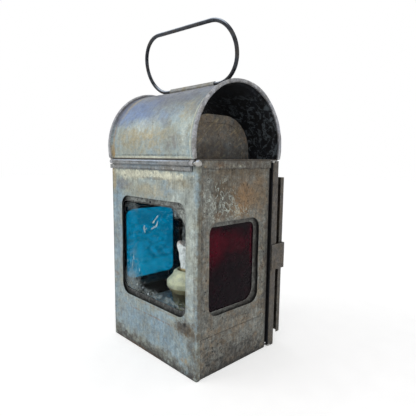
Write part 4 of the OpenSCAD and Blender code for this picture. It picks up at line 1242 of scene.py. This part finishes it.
# Beads on the hinge strip by x, z and radius, and on the front right corner by y, z and radius
STRIP_BEADS = ((-48.5, 145.0, 0.8), (-45.6, 144.4, 0.65), (9.3, 144.1, 0.5), (18.1, 144.3, 0.45),
               (29.2, 143.9, 0.75), (-12.0, 143.6, 0.4), (38.2, 143.7, 0.4))
CORNER_BEADS = ((-38.6, 146.6, 0.9), (-37.0, 147.6, 0.6), (-37.6, 144.8, 0.5))


class LAMP_OT_solder(bpy.types.Operator):
    """Beads of solder on the hinge strip, the patch at its right end, and the lumps at the corners"""

    bl_idname = "lamp.solder"
    bl_label = "Solder"

    def execute(self, context):
        beads = Shape()
        for count, (x, z, radius) in enumerate(STRIP_BEADS):
            beads.sweep(dome((x, STRIP_Y, z), -BACK, RIGHT, UP, radius, radius * 0.8, 70 + count))
        beads.piece("strip_solder", "case", "steel_wire", "solder")
        self.patch()
        lumps = Shape()
        for count, (y, z, radius) in enumerate(CORNER_BEADS):
            lumps.sweep(dome((CASE_X - 0.15, y, z), RIGHT, BACK, UP, radius, radius * 0.5, 90 + count))
        lumps.piece("corner_solder", "case", "tin_side", "lap tin")
        return {"FINISHED"}

    def patch(self):
        """A thin plate soldered on the strip's right end: a rounded outline, raised, with a soft edge."""
        outline = rounded_loop((42.8, 144.4), 3.9, 1.65, 0.4, 10, 6)
        middle = outline.mean(0)
        share = np.array([1.0, 1.0, 0.985, 0.94, 0.5])
        rise = np.array([-0.05, 0.22, 0.33, 0.38, 0.4])
        flat = middle + (outline - middle)[None] * share[:, None, None]
        shape = Shape()
        shape.sweep(triples(flat[..., 0], STRIP_Y - rise[:, None], flat[..., 1]))
        shape.piece("strip_patch", "case", "tin_front", "strip tin")


# Hood and handle

class LAMP_OT_hood(bpy.types.Operator):
    """Dented hood sheet that flares into its wired edges, the rims, the deck and the hinge eyes"""

    bl_idname = "lamp.hood"
    bl_label = "Hood"

    def execute(self, context):
        self.cowl()
        for side, label in SIDES:
            self.rim(side, label)
        softened("hood_deck", "deck tin", 0.1, drop_mm=0.28)
        softened("hood_knuckles", "rim tin", 0.2)
        softened("handle_tube", "tube tin", 0.2)
        return {"FINISHED"}

    def cowl(self):
        """The sheet's radius is steady along its length, then steps up to a raised band at each rim. Angle
        runs from the front foot over the crown to the back foot."""
        sink = math.asin((HOOD_Z - DECK_Z) / HOOD_R)
        angle, length = np.linspace(-sink, math.pi + sink, 170), np.linspace(LEFT_X, RIGHT_X, 150)
        a, x = np.meshgrid(angle, length, indexing="ij")
        left_rise, right_rise = (high("hood_rim_" + label)[1] - HOOD_R - 1.0 for _, label in SIDES)
        wander = 0.5 * noise_field(triples(angle * 20, 0, 0), 14, seed=111)[:, None]
        flare = np.where(x > 0, right_rise * fade(x - RIGHT_X + 4.6 + wander, 1.5),
                         left_rise * fade(LEFT_X - x + 2.8 + wander * 0.6, 1.5))
        out = triples(0, -np.cos(a), np.sin(a))
        spine = triples(x, HOOD_R * out[..., 1], HOOD_Z + HOOD_R * out[..., 2])
        foot = fade(a + sink, 0.12) * fade(math.pi + sink - a, 0.12)
        crown = 1 - 0.8 * groove(a, math.pi / 2, 0.16)
        ends = fade(np.minimum(x - LEFT_X, RIGHT_X - x), 4)
        bulge = sheet_dents(spine, seed=101) * 1.2 - 0.2
        skin = spine + out * (flare + bulge * foot * ends * crown)[..., None]
        inner = skin - out * (SHEET * 0.9)
        shape = Shape()
        shape.sweep(np.concatenate([skin, inner[:, ::-1]], axis=1))
        cowl = shape.build("hood_cowl")
        self.mark_inside(cowl.data)
        dress(cowl, "hood", "hood tin", ["hood_sheet"])

    def mark_inside(self, mesh):
        """Gives each point a mask that is 1 where its normal faces the hood's axis."""
        count = len(mesh.vertices)
        places, normals = np.zeros(count * 3), np.zeros(count * 3)
        mesh.vertices.foreach_get("co", places)
        mesh.vertex_normals.foreach_get("vector", normals)
        outward = places.reshape(-1, 3) - np.array([0, 0, HOOD_Z * MM])
        facing = (outward[:, 1:] * normals.reshape(-1, 3)[:, 1:]).sum(1)
        mask = mesh.attributes.new(INSIDE, "FLOAT", "POINT")
        mask.data.foreach_set("value", (facing < 0).astype(float))

    def rim(self, side, label):
        """Wire rolled into the hood's edge: a tube along the arch whose radius wanders a little."""
        node = "hood_rim_" + label
        wire_r = (high(node)[0] - low(node)[0]) / 2
        ring_r = high(node)[1] - wire_r
        sink = math.asin((HOOD_Z - DECK_Z - 0.2) / ring_r)
        angle = np.linspace(-sink, math.pi + sink, 220)
        out = triples(0, -np.cos(angle), np.sin(angle))
        line = out * ring_r + np.array([RIM_X[side], 0, HOOD_Z])
        swell = 0.93 + 0.06 * noise_field(line, 13, seed=121 + side)
        shape = Shape()
        shape.sweep(tube(line, RIGHT, out, wire_r * swell, 20))
        shape.piece("rim_" + label, "hood", "tin_rim", "rim tin", node)


class LAMP_OT_chimney(bpy.types.Operator):
    """Inner chimney with its bordered ends"""

    bl_idname = "lamp.chimney"
    bl_label = "Chimney"

    def execute(self, context):
        softened("chimney_barrel", "chimney tin", 0.12)
        for _, label in SIDES:
            softened("chimney_end_" + label, "chimney tin", 0.25)
        return {"FINISHED"}


class LAMP_OT_handle(bpy.types.Operator):
    """Ring handle of hand-bent wire"""

    bl_idname = "lamp.handle"
    bl_label = "Handle"

    def execute(self, context):
        """A half circle at each end and a straight run over and under, leant back from the crown tube's axis.
        The wire wanders off its plane, except in the tube."""
        half, left_r, right_r, lean, wire_r = 29.8, 22.3, 21.1, math.radians(13.4), 1.5
        turn = np.linspace(-math.pi / 2, math.pi / 2, 64)
        run = np.linspace(0, 1, 50)[1:-1, None]
        right = np.stack([half + right_r * np.cos(turn), right_r + right_r * np.sin(turn)], 1)
        left = np.stack([-half - left_r * np.cos(turn), left_r - left_r * np.sin(turn)], 1)
        over = right[-1] + run * (left[0] - right[-1])
        under = left[-1] + run * (right[0] - left[-1])
        flat = np.concatenate([right, over, left, under])
        step = unit(np.roll(flat, -1, 0) - np.roll(flat, 1, 0))
        rise = np.array([0, -math.sin(lean), math.cos(lean)])
        face = np.cross(RIGHT, rise)
        line = np.array([0, 0, HANDLE_Z]) + flat[:, :1] * RIGHT + flat[:, 1:] * rise
        side = step[:, 1:] * RIGHT - step[:, :1] * rise
        line += face * (0.25 * noise_field(line, 60, seed=141) * fade(flat[:, 1], 8))[:, None]
        swell = 0.985 + 0.015 * noise_field(line, 7, seed=142)
        shape = Shape()
        shape.sweep(tube(line, side, face, wire_r * swell, 20), closed_path=True)
        shape.piece("handle_ring", "handle", "steel_wire", "handle wire", "ring_handle")
        return {"FINISHED"}


# Back door

class LAMP_OT_door(bpy.types.Operator):
    """Back door with its rolled edges, the guide rails, the strap and its rivets"""

    bl_idname = "lamp.door"
    bl_label = "Door"

    def execute(self, context):
        for node in ("door_panel", "guide_rail_left", "guide_rail_right"):
            softened(node, "door tin", 0.18)
        softened("belt_strap", "door tin", 0.25, 3)
        softened("belt_rivets", "rim tin", 0.2)
        return {"FINISHED"}


# Glass

# Strokes of dried paint on the clear pane: the start, the bend and the end in x and z, and half the width
STROKES = (
    ((5.6, 109), (2.6, 106.4), (-1.2, 102.4), 0.5),
    ((5.0, 105), (4.2, 101), (1.2, 99.3), 0.42),
    ((1.4, 100.6), (-0.6, 98.6), (-2.9, 98.0), 0.4),
    ((-12.0, 99.4), (-13.6, 96), (-10.9, 93.6), 0.42),
    ((-9.6, 97.4), (-10.2, 96.4), (-11.2, 95.9), 0.3),
    ((-23.7, 48.9), (-23.1, 49.7), (-22.4, 50.6), 0.45),
    ((-13.1, 53.1), (-12.6, 53.6), (-12.2, 54.2), 0.4),
    ((-15.8, 48.4), (-15.2, 48.8), (-14.6, 49.3), 0.4),
    ((-8.8, 45.0), (-8.1, 45.4), (-7.4, 46.1), 0.6),
    ((1.8, 44.4), (2.4, 44.6), (3.0, 45.0), 0.45),
    ((-19.9, 60.8), (-19.3, 62.2), (-19.9, 63.8), 0.26),
    ((-27.6, 69), (-27.2, 70.5), (-28.2, 72.4), 0.26),
    ((-36.8, 65.4), (-36.4, 66.6), (-36.8, 68), 0.3),
    ((-30.4, 62), (-29.4, 65), (-29.8, 68.4), 0.22),
)
PANES = {"front_glass": "clear pane", "left_glass": "blue pane", "right_glass": "red pane"}


class LAMP_OT_panes(bpy.types.Operator):
    """Clear, blue and red panes, and the flecks on the clear one"""

    bl_idname = "lamp.panes"
    bl_label = "Panes"

    def execute(self, context):
        for node, look in PANES.items():
            pane = NODES[node]
            pane.data.materials.clear()
            pane.data.materials.append(finish(look))
        self.film()
        self.flecks()
        return {"FINISHED"}

    def film(self):
        """A thin closed sheet just in front of the clear pane, inside its lining's hole."""
        outline = rounded_loop((-1.3, 80.2), 39.9, 36.0, 8.0, 12, 8)
        depth = np.array([[PANE_Y - 0.02], [PANE_Y - 0.05]])
        shape = Shape()
        shape.sweep(triples(outline[:, 0], depth, outline[:, 1]))
        shape.piece("pane_film", "case", "clear_glass", "pane film")

    def flecks(self):
        """Each stroke is a flat ribbon along a bent line, widest in its middle. At a share t of its length
        the line is at (1 - t)^2 of its start, 2t(1 - t) of its bend and t^2 of its end."""
        shape = Shape()
        t = np.linspace(0, 1, 22)[:, None]
        depth = PANE_Y - np.array([0.09, 0.09, 0.01, 0.01])
        for count, (start, bend, end, half) in enumerate(STROKES):
            start, bend, end = (np.array(place, float) for place in (start, bend, end))
            line = (1 - t) ** 2 * start + 2 * t * (1 - t) * bend + t ** 2 * end
            step = unit(np.gradient(line, axis=0))
            across = np.stack([step[:, 1], -step[:, 0]], 1)
            swell = 1 + 0.5 * noise_field(triples(line[:, 0], 0, line[:, 1]), 3, seed=160 + count)
            width = half * np.sqrt(np.sin(math.pi * (0.02 + 0.96 * t[:, 0]))) * swell
            width = np.clip(width, 0.08, None)[:, None]
            first, last = line - across * width, line + across * width
            edges = np.stack([first, last, last, first], 1)
            shape.sweep(triples(edges[..., 0], depth, edges[..., 1]))
        shape.piece("pane_flecks", "case", "tin_front", "fleck")


# Fount and burner

class LAMP_OT_fount(bpy.types.Operator):
    """Oil fount and its collar"""

    bl_idname = "lamp.fount"
    bl_label = "Fount"

    def execute(self, context):
        softened("fount_tank", "fount tin", 0.3, 3)
        softened("fount_top", "fount tin", 0.2)
        softened("fount_collar", "brass", 0.3)
        return {"FINISHED"}


class LAMP_OT_burner(bpy.types.Operator):
    """Bowl, gallery, wick tube and winder"""

    bl_idname = "lamp.burner"
    bl_label = "Burner"

    def execute(self, context):
        softened("burner_bowl", "brass", 0.25)
        softened("burner_gallery", "pale brass", 0.25)
        softened("wick_tube", "brass", 0.15)
        softened("winder_spindle", "brass", 0.1)
        softened("winder_wheel", "brass", 0.2)
        return {"FINISHED"}


class LAMP_OT_wick(bpy.types.Operator):
    """Round braided wick with a frayed, notched head"""

    bl_idname = "lamp.wick"
    bl_label = "Wick"

    def execute(self, context):
        """Height and angle give a point at a radius that follows the wick's outline. Two sets of crossed
        waves make the braid, and the head's top edge rises to two ears beside a notch."""
        foot, top = low("wick")[2], high("wick")[2]
        widest = high("wick")[0]
        neck_z = top - 18.0
        angle = np.linspace(0, 2 * math.pi, 120, endpoint=False)
        u, a = np.meshgrid(np.linspace(0, 1, 210), angle, indexing="ij")
        notch = math.radians(319)
        lobe = 1.5 * (1 + np.cos(2 * (a - notch))) + 0.9 * (1 + np.cos(a - notch - math.pi / 2))
        crest = top - 0.4 - lobe
        z = foot + (crest - foot) * u
        stem = np.interp(z, [foot, neck_z - 1, neck_z + 8, top - 5, top - 1.5, top],
                         [6.55, 6.55, widest - 1.9, widest - 0.75, widest - 1.6, widest - 3.2])
        exposed = fade(z - neck_z + 2, 3)
        braid = np.abs(np.sin(5 * a + z * 0.62)) + np.abs(np.sin(5 * a - z * 0.62)) - 1.2
        points = triples(stem * np.cos(a), stem * np.sin(a), z)
        fray = noise_field(points, 3.2, seed=171) * 0.32 + noise_field(points, 9, seed=172) * 0.45
        flat_side = 1 - 0.12 * exposed * (1 - np.cos(2 * (a - math.radians(60)))) / 2
        relief = context.scene.lamp_form.braid_depth * braid * 0.6 + fray * 0.75
        r = np.minimum((stem + exposed * relief) * flat_side, widest)
        loops = triples(r * np.cos(a), FOUNT_Y + r * np.sin(a), z)
        rim = loops[-1]
        middle = rim.mean(0) + np.array([0, 0, 0.2])
        lid = middle + (rim - middle)[None] * np.array([0.86, 0.6, 0.3, 0.06])[:, None, None]
        lid[..., 2] += 0.5 * noise_field(lid, 3, seed=173)
        lid[..., 2] = np.minimum(lid[..., 2], top - 0.05)
        shape = Shape()
        shape.sweep(np.concatenate([loops, lid]))
        shape.piece("braided_wick", "wick", "cotton", "braided cotton", "wick", sharp=70)
        return {"FINISHED"}


# Stage

def seen_rays(tree):
    """1 on rays that show the surroundings: from the camera, through glass and off metal."""
    path = add_node(tree, "ShaderNodeLightPath")
    seen = calc("MAXIMUM", path["Is Camera Ray"], path["Is Transmission Ray"])
    return calc("MAXIMUM", seen, path["Is Glossy Ray"])


class LAMP_OT_stage(bpy.types.Operator):
    """Pale floor, white surroundings, soft lamps and the camera"""

    bl_idname = "lamp.stage"
    bl_label = "Stage"

    def execute(self, context):
        stage = context.scene.lamp_stage
        self.floor()
        self.world(context.scene, stage.sky_strength)
        self.lamp("key lamp", (-0.75, -0.95, 0.95), 0.9, stage.key_power)
        self.lamp("fill lamp", (0.9, -0.9, 0.55), 0.8, stage.fill_power)
        self.camera(context.scene, stage)
        context.scene.view_settings.view_transform = "Standard"
        return {"FINISHED"}

    def floor(self):
        """Matt paper that glows a little where it is seen."""
        half = 3.0
        mesh = bpy.data.meshes.new("floor")
        mesh.from_pydata([(-half, -half, 0), (half, -half, 0), (half, half, 0), (-half, half, 0)], [],
                         [(0, 1, 2, 3)])
        floor = in_scene("floor", mesh)
        material, tree, shader = new_material("floor paper")
        feed(shader["Base Color"], grey(span(clouds(here_in(tree), 60, 3), 0.3, 0.7, 0.86, 0.9)))
        shader["Roughness"].default_value = 0.9
        shader["Specular IOR Level"].default_value = 0.1
        paper = Field(tree.nodes["Principled BSDF"].outputs["BSDF"])
        glow = add_node(tree, "ShaderNodeEmission", Color=(1, 1, 1, 1), Strength=seen_rays(tree) * 0.5)
        surface(tree, "ShaderNodeAddShader", (0, 1), paper, glow["Emission"])
        mesh.materials.append(material)

    def world(self, scene, strength):
        """White wherever it is seen, in glass and metal too, and softer as a light."""
        scene.world = bpy.data.worlds.new("studio")
        scene.world.use_nodes = True
        tree = scene.world.node_tree
        sky = tree.nodes["Background"].inputs
        sky["Color"].default_value = (1, 1, 1, 1)
        feed(sky["Strength"], seen_rays(tree) * (1.0 - strength) + strength)

    def lamp(self, name, place, size, power):
        """A square lamp that faces the middle of the gauge lamp's case."""
        light = bpy.data.lights.new(name, "AREA")
        light.size = size
        light.energy = power
        aim = Vector((0, 0, 0.11)) - Vector(place)
        turn = aim.to_track_quat("-Z", "Y").to_matrix().to_4x4()
        in_scene(name, light).matrix_world = Matrix.Translation(place) @ turn

    def camera(self, scene, stage):
        """The camera looks along yaw and pitch, then turns about that line by roll."""
        yaw, pitch, roll = stage.camera_turn
        ahead = Vector((-math.sin(yaw) * math.cos(pitch), math.cos(yaw) * math.cos(pitch), math.sin(pitch)))
        level = Vector((math.cos(yaw), math.sin(yaw), 0))
        upright = level.cross(ahead)
        right = level * math.cos(roll) + upright * math.sin(roll)
        up = upright * math.cos(roll) - level * math.sin(roll)
        data = bpy.data.cameras.new("camera")
        data.sensor_width = 36.0
        data.sensor_fit = "HORIZONTAL"
        data.lens = stage.lens_mm
        data.clip_start = 0.01
        scene.camera = in_scene("camera", data)
        turn = Matrix((right, up, -ahead)).transposed().to_4x4()
        scene.camera.matrix_world = Matrix.Translation(stage.camera_place) @ turn


class LAMP_PT_panel(bpy.types.Panel):
    """Steps that dress the lamp, in order"""

    bl_idname = "LAMP_PT_panel"
    bl_label = "Gauge Lamp"
    bl_space_type = "VIEW_3D"
    bl_region_type = "UI"
    bl_category = "Gauge Lamp"

    def draw(self, context):
        for operator in OPERATORS:
            self.layout.operator(operator.bl_idname)
        for group_name in SETTINGS:
            settings = getattr(context.scene, group_name)
            box = self.layout.box()
            for key in settings.bl_rna.properties.keys():
                if key not in ("rna_type", "name"):
                    box.prop(settings, key)


SETTINGS = {"lamp_form": LampForm, "lamp_finish": LampFinish, "lamp_stage": LampStage}
OPERATORS = (LAMP_OT_stage, LAMP_OT_front_sheet, LAMP_OT_side_sheets, LAMP_OT_top_bands,
             LAMP_OT_case_fittings, LAMP_OT_solder, LAMP_OT_hood, LAMP_OT_chimney, LAMP_OT_handle,
             LAMP_OT_door, LAMP_OT_panes, LAMP_OT_fount, LAMP_OT_burner, LAMP_OT_wick)
CLASSES = (*SETTINGS.values(), *OPERATORS, LAMP_PT_panel)


def register():
    for kind in CLASSES:
        bpy.utils.register_class(kind)
    for name, kind in SETTINGS.items():
        setattr(bpy.types.Scene, name, bpy.props.PointerProperty(type=kind))


def unregister():
    for name in SETTINGS:
        delattr(bpy.types.Scene, name)
    for kind in reversed(CLASSES):
        bpy.utils.unregister_class(kind)


def main():
    register()
    for operator in OPERATORS:
        kind, name = operator.bl_idname.split(".")
        getattr(getattr(bpy.ops, kind), name)()


if __name__ == "__main__":
    main()
